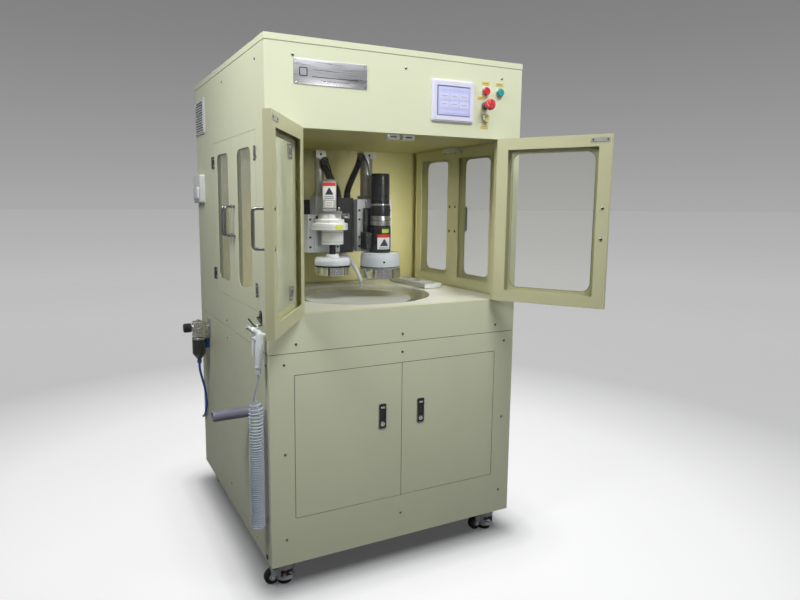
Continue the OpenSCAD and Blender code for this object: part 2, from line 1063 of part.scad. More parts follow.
// Slack motor leads, each from its conduit's mouth to its motor
polish_lead = [
    [36, head_y + 30.5, 1394], [36, head_y + 20, 1393], [38, head_y + 10, 1386], [41, head_y + 3, 1373],
    [43, head_y - 1, 1356], [45, head_y - 2, 1341], [47, head_y - 2, 1331], [50, head_y - 2, 1324],
    [54, head_y - 2, 1320.5], [57, head_y - 2, 1320], [59.8, head_y - 2, 1320]
];
cond_lead = [
    [-114, head_y + 30.5, 1378], [-114, head_y + 22, 1377], [-112, head_y + 14, 1370],
    [-108, head_y + 9, 1356], [-104, head_y + 7, 1340], [-102, head_y + 6, 1325],
    [-101, head_y + 6, 1315], [-101, head_y + 6, 1309.3]
];

module polish_drive() {
    carriage_y = head_y + 40;
    color(dark) {
        union() {
            translate([polish_x, head_y, floor_h])
                difference() {
                    stack(polish_rows);
                    translate([0, 0, 950])
                        cylinder(h = 40, r = 12.06);
                }
            block(
                [polish_x - 62, head_y - 6, floor_h + 966],
                [polish_x - 20, carriage_y + 1, floor_h + 1030]
            );
            block(
                [polish_x - 52, head_y + 25, floor_h + 1020],
                [polish_x + 56, carriage_y + 1, floor_h + 1120]
            );
        }
        sweep_tube(polish_lead, 2.5);
    }
}

module polish_head() {
    color(off_white)
        translate([polish_x, head_y, floor_h])
            union() {
                difference() {
                    stack([
                        [859, 896.5, polish_ring_r], [896, 948, polish_ring_r - 4],
                        [947, 953, polish_ring_r - 7]
                    ]);
                    translate([0, 0, 858])
                        cylinder(h = 4, r = 51);
                }
                translate([0, 0, 950])
                    cylinder(h = 36, r = 12);
            }
}

// The conditioner's gearbox stands a little to the left of its spindle, the motor turned on it
gear_rows = [[1041, 1066.5, 66], [1066, 1080.5, 53], [1080, 1101.5, 42.5]];
gear_shift = -11;
motor_turn = -26;

module gear_motor() {
    stack(gear_rows);
    rotate([0, 0, motor_turn]) {
        block([-45, -45, 1101], [45, 30, 1110]);
        for (x = [-34, 34], y = [-34, 20]) {
            translate([x, y, 1108])
                cylinder(h = 14, r = 4);
        }
        block([-24, -24, 1109], [24, 24, 1223]);
    }
}

module conditioner_drive() {
    color(off_white) {
        union() {
            translate([cond_x, head_y, floor_h])
                difference() {
                    union() {
                        translate([0, 0, 989])
                            cylinder(h = 53, r = 40);
                        translate([gear_shift, 0, 0])
                            gear_motor();
                    }
                    translate([0, 0, 980])
                        cylinder(h = 30, r = 12.06);
                    // flat that clears the slide's guide rails
                    block([-90, 41.2, 1030], [70, 80, 1111]);
                }
            block([cond_x - 50, head_y + 20, floor_h + 1040], [cond_x + 45, head_y + 41, floor_h + 1092]);
        }
        sweep_tube(cond_lead, 2.5);
    }
}

module conditioner_head() {
    color(off_white)
        translate([cond_x, head_y, floor_h])
            difference() {
                stack([
                    [878, 908.5, cond_ring_r], [908, 912.5, cond_ring_r + 1], [912, 941, cond_ring_r + 2],
                    [940, 952, 23], [950, 1006, 12]
                ]);
                translate([0, 0, 877])
                    cylinder(h = 4, r = 50);
            }
}

arm_pivot = [-16, head_y + 98, 0];
// Centre line of the slurry arm, from its post to the nozzle's tip
arm_path = [
    [-16, head_y + 98, 1022], [-15, head_y + 80, 1021], [-13, head_y + 52, 1014], [-10, head_y + 24, 999],
    [-6, head_y - 4, 976], [-2, head_y - 26, 950], [0, head_y - 32, 936]
];

module slurry_arm() {
    color(grey_paint)
        union() {
            translate([arm_pivot[0], arm_pivot[1], floor_h + 922])
                cylinder(h = 27.5, r = 15);
            sweep_tube(arm_path, 9, 16);
            translate([0, head_y - 32, 914])
                cylinder(h = 24, r = 5);
        }
}

left_conduit = [
    [-34, head_y + 102, 1244.3], [-34, head_y + 102, 1254], [-37, head_y + 101, 1266],
    [-44, head_y + 98, 1280],
    [-57, head_y + 93, 1298], [-72, head_y + 86, 1318], [-88, head_y + 77, 1338],
    [-101, head_y + 69, 1355], [-110, head_y + 60, 1369], [-114, head_y + 48, 1377],
    [-114, head_y + 34, 1378]
];
right_conduit = [
    [4, head_y + 102, 1244.3], [4, head_y + 102, 1256], [5, head_y + 100, 1270],
    [8, head_y + 96, 1286],
    [14, head_y + 88, 1308], [21, head_y + 80, 1330], [28, head_y + 72, 1350],
    [34, head_y + 64, 1370], [36, head_y + 56, 1385], [36, head_y + 46, 1393],
    [36, head_y + 34, 1394]
];

module cable_conduits() {
    color(dark) {
        sweep_tube(left_conduit, 13, 12);
        sweep_tube(right_conduit, 13, 12);
    }
}

// ---------- controls ----------

module push_cap(spot, tint) {
    color(tint)
        on_front(spot[0], floor_h + spot[1], 0.5)
            union() {
                cylinder(h = 9, r = button_r);
                cylinder(h = 10.5, r = button_r - 1.5);
            }
}

module red_button() {
    push_cap(button_spots[0], [0.8, 0.12, 0.1]);
}

module green_button() {
    push_cap(button_spots[1], [0.1, 0.6, 0.5]);
}

module yellow_button() {
    push_cap(button_spots[2], [0.9, 0.85, 0.55]);
}

module emergency_stop() {
    color([0.8, 0.08, 0.06])
        on_front(stop_spot[0], floor_h + stop_spot[1], 0.5)
            union() {
                cylinder(h = 26, r = stop_stem_r);
                translate([0, 0, 23])
                    cylinder(h = 5, r1 = stop_stem_r + 1, r2 = stop_r);
                translate([0, 0, 28])
                    cylinder(h = 8, r = stop_r);
                translate([0, 0, 36])
                    cylinder(h = 4, r1 = stop_r, r2 = stop_r - 6);
            }
}

// ---------- spray gun and hoses ----------

gun_x = -half_w - 28;
gun_y = front + 15;
gun_z = floor_h + 628;

module spray_gun() {
    color(off_white)
        translate([gun_x, gun_y, gun_z])
            union() {
                // hose nut, neck and handle
                cylinder(h = 14, r = 8);
                translate([0, 0, 12])
                    cylinder(h = 12, r = 6.5);
                translate([0, 0, 22])
                    sphere(11);
                hull() {
                    translate([1, 0, 26])
                        cylinder(h = 2, r = 11, $fn = 32);
                    translate([4, 0, 78])
                        cylinder(h = 2, r = 13, $fn = 32);
                    translate([2, 0, 122])
                        sphere(12, $fn = 32);
                }
                // barrel and nozzle pointing out and up, with a hanging horn at the back
                translate([4, 0, 124])
                    rotate([0, -58, 0])
                        cylinder(h = 26, r1 = 10, r2 = 9);
                translate([-16, 0, 136.5])
                    rotate([0, -58, 0])
                        cylinder(h = 20, r = 6);
                translate([4, 0, 122])
                    rotate([0, 105, 0])
                        cylinder(h = 20, r1 = 8, r2 = 5);
                // hanging ring
                translate([-2, 0, 144.3])
                    rotate([0, 90, 0])
                        rotate_extrude()
                            translate([7, 0])
                                circle(2);
                // ears that hold the trigger's pivot
                for (s = [-1, 1]) {
                    translate([-19, s * 5.4 - 1, 106])
                        cube([14, 2, 11]);
                }
            }
}

module gun_trigger() {
    color(off_white)
        translate([gun_x, gun_y, gun_z])
            union() {
                hull() {
                    translate([-17.5, -4, 107])
                        cube([4, 8, 7]);
                    translate([-19.5, -4, 62])
                        cube([4, 8, 6]);
                }
                translate([-19, -4, 58])
                    cube([3.5, 8, 8]);
            }
}

coil_x = -half_w - 33;
coil_y = front + 30;
coil_z0 = floor_h + 133;
coil_z1 = floor_h + 543;
// Lead from the gun's nut down to the coil's top turn
lead_points = [
    [gun_x, gun_y, gun_z], [gun_x, gun_y, gun_z - 12], [gun_x - 2, gun_y + 1, gun_z - 26],
    [gun_x - 5, gun_y + 3, gun_z - 42], [gun_x - 8, gun_y + 6, gun_z - 57],
    [gun_x - 10, gun_y + 9, gun_z - 69], [gun_x - 11, gun_y + 12, gun_z - 79],
    [gun_x - 11, gun_y + 14, coil_z1]
];
// Tail from the coil's foot into its wall fitting
tail_points = [
    [coil_x + 12, coil_y + 20, floor_h + 136], [coil_x + 16, coil_y + 20, floor_h + 136],
    [-half_w - 12, coil_y + 20, floor_h + 136], [-half_w - 9, coil_y + 20, floor_h + 136]
];

module gun_hose() {
    color([0.85, 0.88, 0.88, 0.6]) {
        sweep_tube(lead_points, hose_r);
        sweep_tube(tail_points, hose_r);
    }
}

module gun_hose_coil() {
    color([0.85, 0.88, 0.88, 0.6])
        translate([coil_x, coil_y, coil_z0])
            rotate_extrude()
                square([coil_r, coil_z1 - coil_z0]);
}

// Blue tube from the regulator's foot, round the rear edge, to the bulkhead elbow
air_points = [
    [-506, 325, 568], [-506, 326, 552], [-504, 329, 536], [-500, 334, 520], [-495, 341, 502],
    [-489, 350, 482], [-482, 360, 458], [-476, 370, 432], [-472, 378, 406], [-469, 386, 380],
    [-468, 396, 355], [-468, 410, 333], [-468, 428, 314], [-468, 448, 300], [-468, 466, 291],
    [-466, 480, 286], [-461, 492, 283], [-452, 501, 281], [-440, 505, 279], [-425, 505, 278],
    [-408, 505, 278]
];

module air_tube() {
    color([0.1, 0.2, 0.75])
        sweep_tube(air_points, air_r);
}

// ---------- casters ----------

// Swivel cup round the levelling stem, with a side fork for the wheel trailing towards -x
module swivel_housing() {
    color(grey_paint)
        difference() {
            union() {
                translate([0, 0, 18])
                    cylinder(h = 61, r = 33);
                translate([-wheel_off - 6, -17, 30])
                    cube([wheel_off, 34, 24]);
                translate([-wheel_off, 17, 26])
                    rotate([90, 0, 0])
                        cylinder(h = 34, r = 9);
            }
            translate([0, 0, 17])
                cylinder(h = 51, r = 28);
            translate([0, 0, 60])
                cylinder(h = 30, r = 8.06);
            translate([-wheel_off, 11.5, 26])
                rotate([90, 0, 0])
                    cylinder(h = 23, r = wheel_r + 2.5);
            translate([-wheel_off, 30, 26])
                rotate([90, 0, 0])
                    cylinder(h = 60, r = 4.06);
            // adjuster window towards the front
            translate([-20, -40, 30])
                cube([40, 30, 22]);
        }
}

module caster_wheel() {
    color(dark)
        translate([-wheel_off, 0, 26])
            rotate([90, 0, 0])
                union() {
                    translate([0, 0, -10.5])
                        cylinder(h = 21, r = wheel_r);
                    translate([0, 0, -20])
                        cylinder(h = 40, r = 4);
                }
}

module at_caster(sx, sy) {
    translate([sx * caster_x, sy * caster_y, 0])
        children();
}

module caster_swivel_front_left() {
    at_caster(-1, -1)
        swivel_housing();
}

module caster_swivel_front_right() {
    at_caster(1, -1)
        swivel_housing();
}

module caster_swivel_rear_left() {
    at_caster(-1, 1)
        rotate([0, 0, 180])
            swivel_housing();
}

module caster_swivel_rear_right() {
    at_caster(1, 1)
        swivel_housing();
}

module caster_wheel_front_left() {
    at_caster(-1, -1)
        caster_wheel();
}

module caster_wheel_front_right() {
    at_caster(1, -1)
        caster_wheel();
}

module caster_wheel_rear_left() {
    at_caster(-1, 1)
        rotate([0, 0, 180])
            caster_wheel();
}

module caster_wheel_rear_right() {
    at_caster(1, 1)
        caster_wheel();
}

base_frame();
lower_front_panel();
upper_front_panel();
lower_side_and_rear_panels();
upper_side_walls();
chamber_liner();
top_cover();
deck();
touch_panel();
cabinet_hardware();
vent_grille();
service_box();
drain_pipe();
air_regulator();
loading_tray();
platen_drive();
front_left_door();
front_left_window();
front_right_door();
front_right_window();
left_front_door();
left_front_window();
left_rear_door();
left_rear_window();
right_front_door();
right_front_window();
right_rear_door();
right_rear_window();
lower_left_door();
lower_right_door();
left_lock_lever();
right_lock_lever();
platen();
polishing_pad();
head_mount();
slide_units();
polish_drive();
polish_head();
conditioner_drive();
conditioner_head();
slurry_arm();
cable_conduits();
red_button();
green_button();
yellow_button();
emergency_stop();
regulator_knob();
spray_gun();
gun_trigger();
gun_hose();
gun_hose_coil();
air_tube();
caster_swivel_front_left();
caster_swivel_front_right();
caster_swivel_rear_left();
caster_swivel_rear_right();
caster_wheel_front_left();
caster_wheel_front_right();
caster_wheel_rear_left();
caster_wheel_rear_right();
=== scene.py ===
import json
import math

import bmesh
import bpy
from mathutils import Matrix, Vector


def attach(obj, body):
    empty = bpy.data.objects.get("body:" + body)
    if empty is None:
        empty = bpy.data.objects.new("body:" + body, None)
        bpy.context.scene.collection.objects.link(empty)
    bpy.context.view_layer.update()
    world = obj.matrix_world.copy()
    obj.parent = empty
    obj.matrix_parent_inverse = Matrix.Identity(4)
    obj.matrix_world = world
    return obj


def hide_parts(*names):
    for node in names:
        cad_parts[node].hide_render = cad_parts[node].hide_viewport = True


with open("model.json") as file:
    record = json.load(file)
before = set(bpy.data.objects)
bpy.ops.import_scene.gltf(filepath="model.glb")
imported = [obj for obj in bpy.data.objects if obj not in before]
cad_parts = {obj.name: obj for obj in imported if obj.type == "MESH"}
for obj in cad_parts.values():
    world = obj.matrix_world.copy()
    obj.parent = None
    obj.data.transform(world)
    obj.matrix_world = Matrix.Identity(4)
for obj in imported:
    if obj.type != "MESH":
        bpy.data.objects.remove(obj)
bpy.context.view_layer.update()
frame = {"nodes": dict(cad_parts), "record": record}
RECORD = frame["record"]
BODY = {n: b for b, ns in RECORD["behaviour"]["bodies"].items() for n in ns}
SLOT = {s["node"]: s["material_slot"] for s in RECORD["subparts"]}
MM = 0.001
scene = bpy.context.scene


def link_object(name, data):
    ob = bpy.data.objects.new(name, data)
    scene.collection.objects.link(ob)
    return ob


# ------------ camera
# solved from the straight edges in the photograph
YAW, PITCH, ROLL = math.radians(26.357), math.radians(-7.594), math.radians(0.254)
EYE = (-1.0141, -2.2567, 1.2249)
fwd = Vector((math.sin(YAW) * math.cos(PITCH), math.cos(YAW) * math.cos(PITCH), math.sin(PITCH)))
flat_right = Vector((math.cos(YAW), -math.sin(YAW), 0))
flat_up = flat_right.cross(fwd)
right = math.cos(ROLL) * flat_right + math.sin(ROLL) * flat_up
up = -math.sin(ROLL) * flat_right + math.cos(ROLL) * flat_up
cam_data = bpy.data.cameras.new("camera")
cam = link_object("camera", cam_data)
scene.camera = cam
cam.matrix_world = Matrix.Translation(EYE) @ Matrix((right, up, -fwd)).transposed().to_4x4()
cam_data.sensor_width = 36
cam_data.lens = 28.38
cam_data.shift_x = 0.0409
cam_data.shift_y = -0.0161
cam_data.clip_start, cam_data.clip_end = 0.05, 200
scene.view_settings.view_transform = "Standard"


# ------------ materials
def feed(t, n, **inputs):
    """Sets or links a node's inputs by name, where _ stands for a space."""
    for key, value in inputs.items():
        socket = n.inputs[key.replace("_", " ")]
        if isinstance(value, bpy.types.NodeSocket):
            t.links.new(value, socket)
        else:
            socket.default_value = value


def node(t, kind, **inputs):
    n = t.nodes.new("ShaderNode" + kind)
    feed(t, n, **inputs)
    return n


def math_node(t, op, x, y=None):
    n = node(t, "Math")
    n.operation = op
    for socket, q in zip(n.inputs, (x, y)):
        if isinstance(q, float):
            socket.default_value = q
        elif q is not None:
            t.links.new(q, socket)
    return n.outputs[0]


def mixed(t, fac, a, b, kind="MIX"):
    n = node(t, "Mix")
    n.data_type = "RGBA"
    n.blend_type = kind
    feed(t, n, Factor=fac, A=a, B=b)
    return n.outputs["Result"]


def either_shader(t, out, fac, a, b):
    """Gives the output a mix of two shaders."""
    n = node(t, "MixShader", Fac=fac)
    t.links.new(a.outputs[0], n.inputs[1])
    t.links.new(b.outputs[0], n.inputs[2])
    feed(t, out, Surface=n.outputs[0])


def shader(name):
    m = bpy.data.materials.new(name)
    m.use_nodes = True
    t = m.node_tree
    t.nodes.clear()
    b = node(t, "BsdfPrincipled")
    return m, t, b, node(t, "OutputMaterial", Surface=b.outputs[0])


def own_space(t):
    return node(t, "TexCoord").outputs["Object"]


def coords(t, stretch=(1, 1, 1)):
    return node(t, "Mapping", Vector=own_space(t), Scale=stretch).outputs["Vector"]


def noise(t, vec, scale, detail=4.0, rough=0.55):
    return node(t, "TexNoise", Vector=vec, Scale=scale, Detail=detail, Roughness=rough).outputs["Fac"]


def ramp(t, fac, stops):
    """A colour ramp. A stop's colour may be one number for a grey."""
    r = node(t, "ValToRGB", Fac=fac)
    while len(r.color_ramp.elements) < len(stops):
        r.color_ramp.elements.new(0.5)
    for e, (p, c) in zip(r.color_ramp.elements, stops):
        e.position = p
        e.color = (c, c, c, 1) if isinstance(c, float) else (*c, 1)
    return r.outputs["Color"]


def spread(t, value, lo, hi, a=0.3, b=0.7):
    """The range a to b stretched to lo to hi."""
    return node(t, "MapRange", Value=value, From_Min=a, From_Max=b, To_Min=lo, To_Max=hi).outputs["Result"]


def bump(t, b, height, strength, depth):
    feed(t, b, Normal=node(t, "Bump", Height=height, Strength=strength,
                           Distance=depth * MM).outputs["Normal"])


def shade(c, k):
    return tuple(min(1.0, x * k) for x in c)


def surface(name, base, rough, vary, scale, relief, metal=0.0, stretch=(1, 1, 1), coat=0.0, specular=0.5,
            darken_low=0.0):
    """A solid finish: colour mottled by vary at a scale, gloss uneven between two values, and a fine
    relief, given as strength, scale and depth in mm. The last argument darkens it towards the floor."""
    m, t, b, _ = shader(name)
    vec = coords(t, stretch)
    col = ramp(t, noise(t, vec, scale), [(0.3, shade(base, 1 - vary)), (0.7, shade(base, 1 + vary))])
    if darken_low:
        # darker in mottled patches from the floor up to 0.75 m
        height = node(t, "SeparateXYZ", Vector=own_space(t)).outputs["Z"]
        low_darkening = math_node(t, "MULTIPLY", spread(t, height, darken_low, 0.0, 0.05, 0.75), noise(t, vec, 14, 6))
        col = mixed(t, low_darkening, col, (*shade(base, 0.45), 1))
    feed(t, b, Base_Color=col, Roughness=spread(t, noise(t, vec, 38, 5), *rough), Metallic=metal,
         Specular_IOR_Level=specular)
    if coat:
        feed(t, b, Coat_Weight=coat, Coat_Roughness=0.08)
    strength, fine, depth = relief
    bump(t, b, noise(t, vec, fine, 3), strength, depth)
    return m


def turned(name, base, rough, pitch, metal=1.0, strength=0.15, second=None):
    """Concentric tool marks round the turntable's axis."""
    m, t, b, _ = shader(name)
    vec = node(t, "Mapping", Vector=own_space(t), Location=(0, -SPINDLE_Y * MM, 0)).outputs["Vector"]
    w = node(t, "TexWave", Vector=vec, Scale=0.31416 / pitch, Distortion=0.4, Detail=1.5)
    w.wave_type = "RINGS"
    w.rings_direction = "Z"
    big = noise(t, vec, 9)
    col = ramp(t, big, [(0.32, second or shade(base, 0.93)), (0.68, shade(base, 1.05))])
    feed(t, b, Base_Color=col, Roughness=spread(t, big, *rough), Metallic=metal)
    bump(t, b, w.outputs["Fac"], strength, 0.3)
    return m


def see_through(name, tint, rough, ior, haze, haze_col, rim=0.55):
    """Clear plastic: what is behind it, under a reflection that grows towards grazing angles, with a
    faint haze."""
    m, t, gloss, out = shader(name)
    vec = coords(t)
    col = ramp(t, noise(t, vec, 7), [(0.3, shade(haze_col, 0.9)), (0.7, haze_col)])
    feed(t, gloss, IOR=ior, Base_Color=col, Roughness=spread(t, noise(t, vec, 22, 5), *rough))
    facing = node(t, "LayerWeight", Blend=0.35).outputs["Facing"]
    fac = spread(t, facing, haze, min(1.0, haze + rim), 0.25, 1.0)
    either_shader(t, out, fac, node(t, "BsdfTransparent", Color=(*tint, 1)), gloss)
    return m


def lit_screen(name, c, strength):
    m, t, b, _ = shader(name)
    vec = coords(t)
    col = ramp(t, noise(t, vec, 60, 2), [(0.3, shade(c, 0.92)), (0.7, c)])
    feed(t, b, Base_Color=col, Emission_Color=col, Emission_Strength=strength,
         Roughness=spread(t, noise(t, vec, 30), 0.12, 0.22))
    return m


# the cabinet in millimetres: its front, rear and side faces, its underside, the deck and the turntable's axis
FRONT, REAR, HALF_W, FLOOR, DECK, SPINDLE_Y = -475.0, 475.0, 460.0, 86.0, 889.0, -130.0

cream = surface("cream_powder_coat", (0.735, 0.757, 0.535), (0.36, 0.5), 0.022, 3.2, (0.22, 620, 0.3),
                coat=0.08, darken_low=0.1)
# the same cream, darker and yellower, for faces that turn inwards: painted shade on the header's and the
# doors' inner faces
cream_shaded = surface("cream_painted_shade", (0.655, 0.642, 0.395), (0.38, 0.52), 0.03, 4, (0.22, 620, 0.3), coat=0.06)
# the cream once more, much darker and yellower, for the chamber: painted shade inside the machine
chamber_shaded_cream = surface("chamber_painted_shade_cream", (0.56, 0.53, 0.245), (0.38, 0.52), 0.03, 4, (0.22, 620, 0.3),
                      coat=0.06)
# the cream paler and less yellow for the deck's top: painted light from above
deck_lit_cream = surface("deck_painted_light_cream", (0.75, 0.75, 0.645), (0.3, 0.44), 0.03, 4, (0.2, 620, 0.3), coat=0.12)
bowl_mat = surface("wet_bowl", (0.7, 0.69, 0.5), (0.18, 0.36), 0.06, 7, (0.12, 90, 0.5), coat=0.25)
steel = surface("satin_steel", (0.6, 0.6, 0.6), (0.26, 0.4), 0.07, 25, (0.12, 900, 0.1), metal=1,
                stretch=(1, 1, 5))
brushed = surface("brushed_plate", (0.46, 0.46, 0.48), (0.24, 0.42), 0.1, 60, (0.35, 500, 0.2), metal=1,
                  stretch=(0.25, 1, 9))
chrome = surface("chrome", (0.82, 0.82, 0.83), (0.07, 0.17), 0.03, 12, (0.04, 260, 0.1), metal=1)
dark_chrome = surface("dark_chrome", (0.3, 0.3, 0.31), (0.14, 0.26), 0.06, 15, (0.05, 300, 0.1), metal=1)
cast = surface("die_cast", (0.5, 0.49, 0.47), (0.36, 0.54), 0.1, 40, (0.35, 520, 0.4), metal=0.85)
grey_paint = surface("light_grey_paint", (0.52, 0.54, 0.56), (0.38, 0.52), 0.04, 9, (0.18, 500, 0.2))
tray_mat = surface("tray_anodised", (0.6, 0.62, 0.62), (0.3, 0.44), 0.03, 12, (0.15, 700, 0.2), metal=0.35,
                   stretch=(1, 6, 1))
black_coat = surface("black_coat", (0.03, 0.031, 0.034), (0.38, 0.55), 0.18, 18, (0.25, 500, 0.3))
motor_black = surface("motor_black", (0.021, 0.023, 0.027), (0.24, 0.42), 0.2, 22, (0.15, 420, 0.2),
                      coat=0.15)
black_plastic = surface("black_plastic", (0.026, 0.026, 0.028), (0.32, 0.48), 0.2, 30, (0.3, 800, 0.3))
# black rubber for feet, tyres and rings; also the dark strips in the waist seam and the door gaps, which are
# painted shade
rubber_and_gap_shade = surface("black_rubber", (0.02, 0.02, 0.021), (0.62, 0.82), 0.25, 30, (0.4, 380, 0.5), specular=0.35)
white_plastic = surface("white_plastic", (0.8, 0.81, 0.81), (0.28, 0.42), 0.025, 14, (0.1, 500, 0.2),
                        coat=0.12)
# white plastic made brighter and bluer: painted light on the spray gun and the catches under the header
lit_white_plastic = surface("lit_white_plastic", (0.9, 0.93, 0.96), (0.28, 0.42), 0.02, 14, (0.1, 500, 0.2), coat=0.12)
ivory_disc = surface("acetal_disc", (0.6, 0.63, 0.67), (0.3, 0.42), 0.03, 16, (0.1, 300, 0.2), coat=0.1)
grey_plastic = surface("grey_plastic", (0.46, 0.475, 0.49), (0.36, 0.5), 0.05, 20, (0.2, 700, 0.3))
grille_white = surface("grille_white", (0.66, 0.67, 0.68), (0.34, 0.48), 0.03, 20, (0.2, 700, 0.3))
bezel_mat = surface("panel_bezel", (0.76, 0.75, 0.88), (0.34, 0.46), 0.02, 20, (0.3, 1100, 0.2))
pvc = surface("drain_pvc", (0.3, 0.295, 0.4), (0.26, 0.38), 0.08, 16, (0.12, 160, 0.3), stretch=(0.2, 1, 1),
              coat=0.1)
pad_mat = turned("polishing_pad", (0.46, 0.47, 0.425), (0.42, 0.62), 0.0045, metal=0.0, strength=0.5,
                 second=(0.38, 0.39, 0.345))
platen_mat = turned("turned_platen", (0.52, 0.52, 0.54), (0.22, 0.34), 0.002)
red = surface("red_cap", (0.64, 0.028, 0.04), (0.18, 0.3), 0.06, 60, (0.05, 900, 0.1), coat=0.5)
green = surface("green_cap", (0.02, 0.36, 0.32), (0.18, 0.3), 0.06, 60, (0.05, 900, 0.1), coat=0.5)
ivory = surface("ivory_cap", (0.72, 0.68, 0.3), (0.2, 0.32), 0.05, 60, (0.05, 900, 0.1), coat=0.4)
yellow_tag = surface("yellow_tag", (0.7, 0.57, 0.16), (0.4, 0.5), 0.06, 120, (0.1, 900, 0.1))
lemon_tag = surface("lemon_tag", (0.76, 0.74, 0.1), (0.4, 0.5), 0.05, 120, (0.1, 900, 0.1))
lime_tag = surface("lime_tag", (0.5, 0.62, 0.1), (0.4, 0.5), 0.06, 120, (0.1, 900, 0.1))
label_white = surface("label_white", (0.8, 0.8, 0.78), (0.34, 0.44), 0.03, 80, (0.08, 700, 0.1))
label_red = surface("label_red", (0.62, 0.05, 0.04), (0.34, 0.44), 0.05, 80, (0.08, 700, 0.1))
label_dark = surface("label_dark", (0.03, 0.04, 0.1), (0.34, 0.44), 0.08, 80, (0.08, 700, 0.1))
blue_tube = surface("blue_tube", (0.016, 0.085, 0.56), (0.18, 0.3), 0.08, 30, (0.05, 400, 0.1), coat=0.4)
blue_ring = surface("blue_ring", (0.03, 0.12, 0.55), (0.24, 0.36), 0.06, 60, (0.05, 500, 0.1))
# near black: painted shade in screw slots, holes, bores, the key slot and the vent openings; also the dark
# print on the name plate and the catches
shade_and_print_dark = surface("painted_shade_and_print_dark", (0.012, 0.012, 0.013), (0.5, 0.7), 0.2, 60, (0.1, 800, 0.1))
smoky = surface("smoked_bowl", (0.02, 0.022, 0.026), (0.08, 0.16), 0.2, 25, (0.05, 300, 0.1), coat=0.8)
caster_mat = surface("caster_zinc", (0.58, 0.62, 0.64), (0.3, 0.46), 0.09, 35, (0.25, 500, 0.3), metal=0.1)
acrylic = see_through("clear_acrylic", (0.968, 0.97, 0.95), (0.03, 0.08), 1.49, 0.02, (0.8, 0.82, 0.72),
                      rim=0.3)
clear_part = see_through("clear_polycarbonate", (0.93, 0.95, 0.95), (0.06, 0.12), 1.5, 0.12,
                         (0.85, 0.88, 0.88))
hose_mat = see_through("clear_hose", (0.86, 0.89, 0.93), (0.12, 0.24), 1.5, 0.6, (0.74, 0.79, 0.87))
screen_pale = lit_screen("screen_pale", (0.56, 0.57, 0.86), 0.08)
screen_head = lit_screen("screen_header", (0.56, 0.58, 0.88), 0.08)
screen_tile = lit_screen("screen_tile", (0.66, 0.64, 0.86), 0.08)
screen_dark = lit_screen("screen_dark", (0.4, 0.42, 0.66), 0.05)
# lilac grey for the gap round the screen: painted shade between the bezel and the glass
bezel_gap_shade = surface("bezel_gap_shade", (0.24, 0.24, 0.33), (0.4, 0.55), 0.06, 40, (0.1, 800, 0.1))
stop_collar = surface("stop_collar", (0.15, 0.19, 0.17), (0.35, 0.5), 0.08, 40, (0.1, 800, 0.1))
# dark olive: the glazing strips round the panes, and also the painted shadow line under the roof's lip
seal_and_shade_olive = surface("window_seal_and_roof_shade", (0.36, 0.355, 0.24), (0.5, 0.65), 0.08, 30, (0.2, 600, 0.2))
polished_cast = surface("polished_cast", (0.66, 0.64, 0.6), (0.16, 0.32), 0.1, 30, (0.2, 260, 0.3), metal=1)
ring_red = surface("thumb_ring", (0.2, 0.014, 0.012), (0.3, 0.45), 0.1, 50, (0.1, 800, 0.2))


# ------------ shapes, in millimetres
def T(x=0, y=0, z=0):
    return Matrix.Translation((x, y, z))


def R(axis, deg):
    return Matrix.Rotation(math.radians(deg), 4, axis)


MIRROR = Matrix.Diagonal((-1, 1, 1, 1))
SPINDLE = T(0, SPINDLE_Y, 0)


def on_front(x, z, out=0.0):
    return T(x, FRONT - out, z) @ R("X", 90)


def on_left(y, z, out=0.0):
    return T(-HALF_W - out, y, z) @ R("Z", -90) @ R("X", 90)


def circle(deg, r, x=0.0, y=0.0):
    return x + r * math.cos(math.radians(deg)), y + r * math.sin(math.radians(deg))


def lathe(profile, segs=64, a0=0.0, a1=360.0):
    """A profile of radii and heights turned about Z."""
    full = abs(a1 - a0) >= 359.9
    n = segs if full else segs + 1
    verts, rings, faces = [], [], []
    for r, z in profile:
        if r < 1e-6 and full:
            rings.append([len(verts)])
            verts.append((0, 0, z))
            continue
        rings.append(list(range(len(verts), len(verts) + n)))
        verts += [(*circle(a0 + (a1 - a0) * k / segs, r), z) for k in range(n)]
    for a, b in zip(rings, rings[1:]):
        if len(a) == 1 and len(b) == 1:
            continue
        for k in range(segs):
            j = (k + 1) % n if full else k + 1
            if len(a) == 1:
                faces.append([a[0], b[j], b[k]])
            elif len(b) == 1:
                faces.append([a[k], a[j], b[0]])
            else:
                faces.append([a[k], a[j], b[j], b[k]])
    return verts, faces


def fillet(points, r, n=6, share=0.48):
    """A polyline with its corners turned into arcs, each taking at most a share of its two sides."""
    out = [points[0]]
    for corner in zip(points, points[1:], points[2:]):
        a, b, c = (Vector(q) for q in corner)
        u, v = a - b, c - b
        k = min(r, u.length * share, v.length * share)
        s, e = b + u.normalized() * k, b + v.normalized() * k
        for f in [j / n for j in range(n + 1)] if k > 1e-6 else ():
            out.append(tuple((1 - f) ** 2 * s + 2 * f * (1 - f) * b + f ** 2 * e))
    return out + [points[-1]]


def rounded(profile, r=1.0, steps=3):
    return fillet(profile, r, steps, 0.45)


def drum(z0, z1, r, edge=1.0, segs=64):
    return lathe(rounded([(0, z0), (r, z0), (r, z1), (0, z1)], edge), segs)


def hoop(z0, z1, r0, r1, edge=0.5, segs=64):
    """The outer skin of a ring that sits on something round."""
    return lathe(rounded([(r0, z0), (r1, z0), (r1, z1), (r0, z1)], edge), segs)


def pipe(z0, z1, r, bore, edge=0.8, segs=48):
    p = rounded([(bore, z0 + 0.01), (bore, z0), (r, z0), (r, z1), (bore, z1), (bore, z1 - 0.01)], edge)
    return lathe(p + [p[0]], segs)


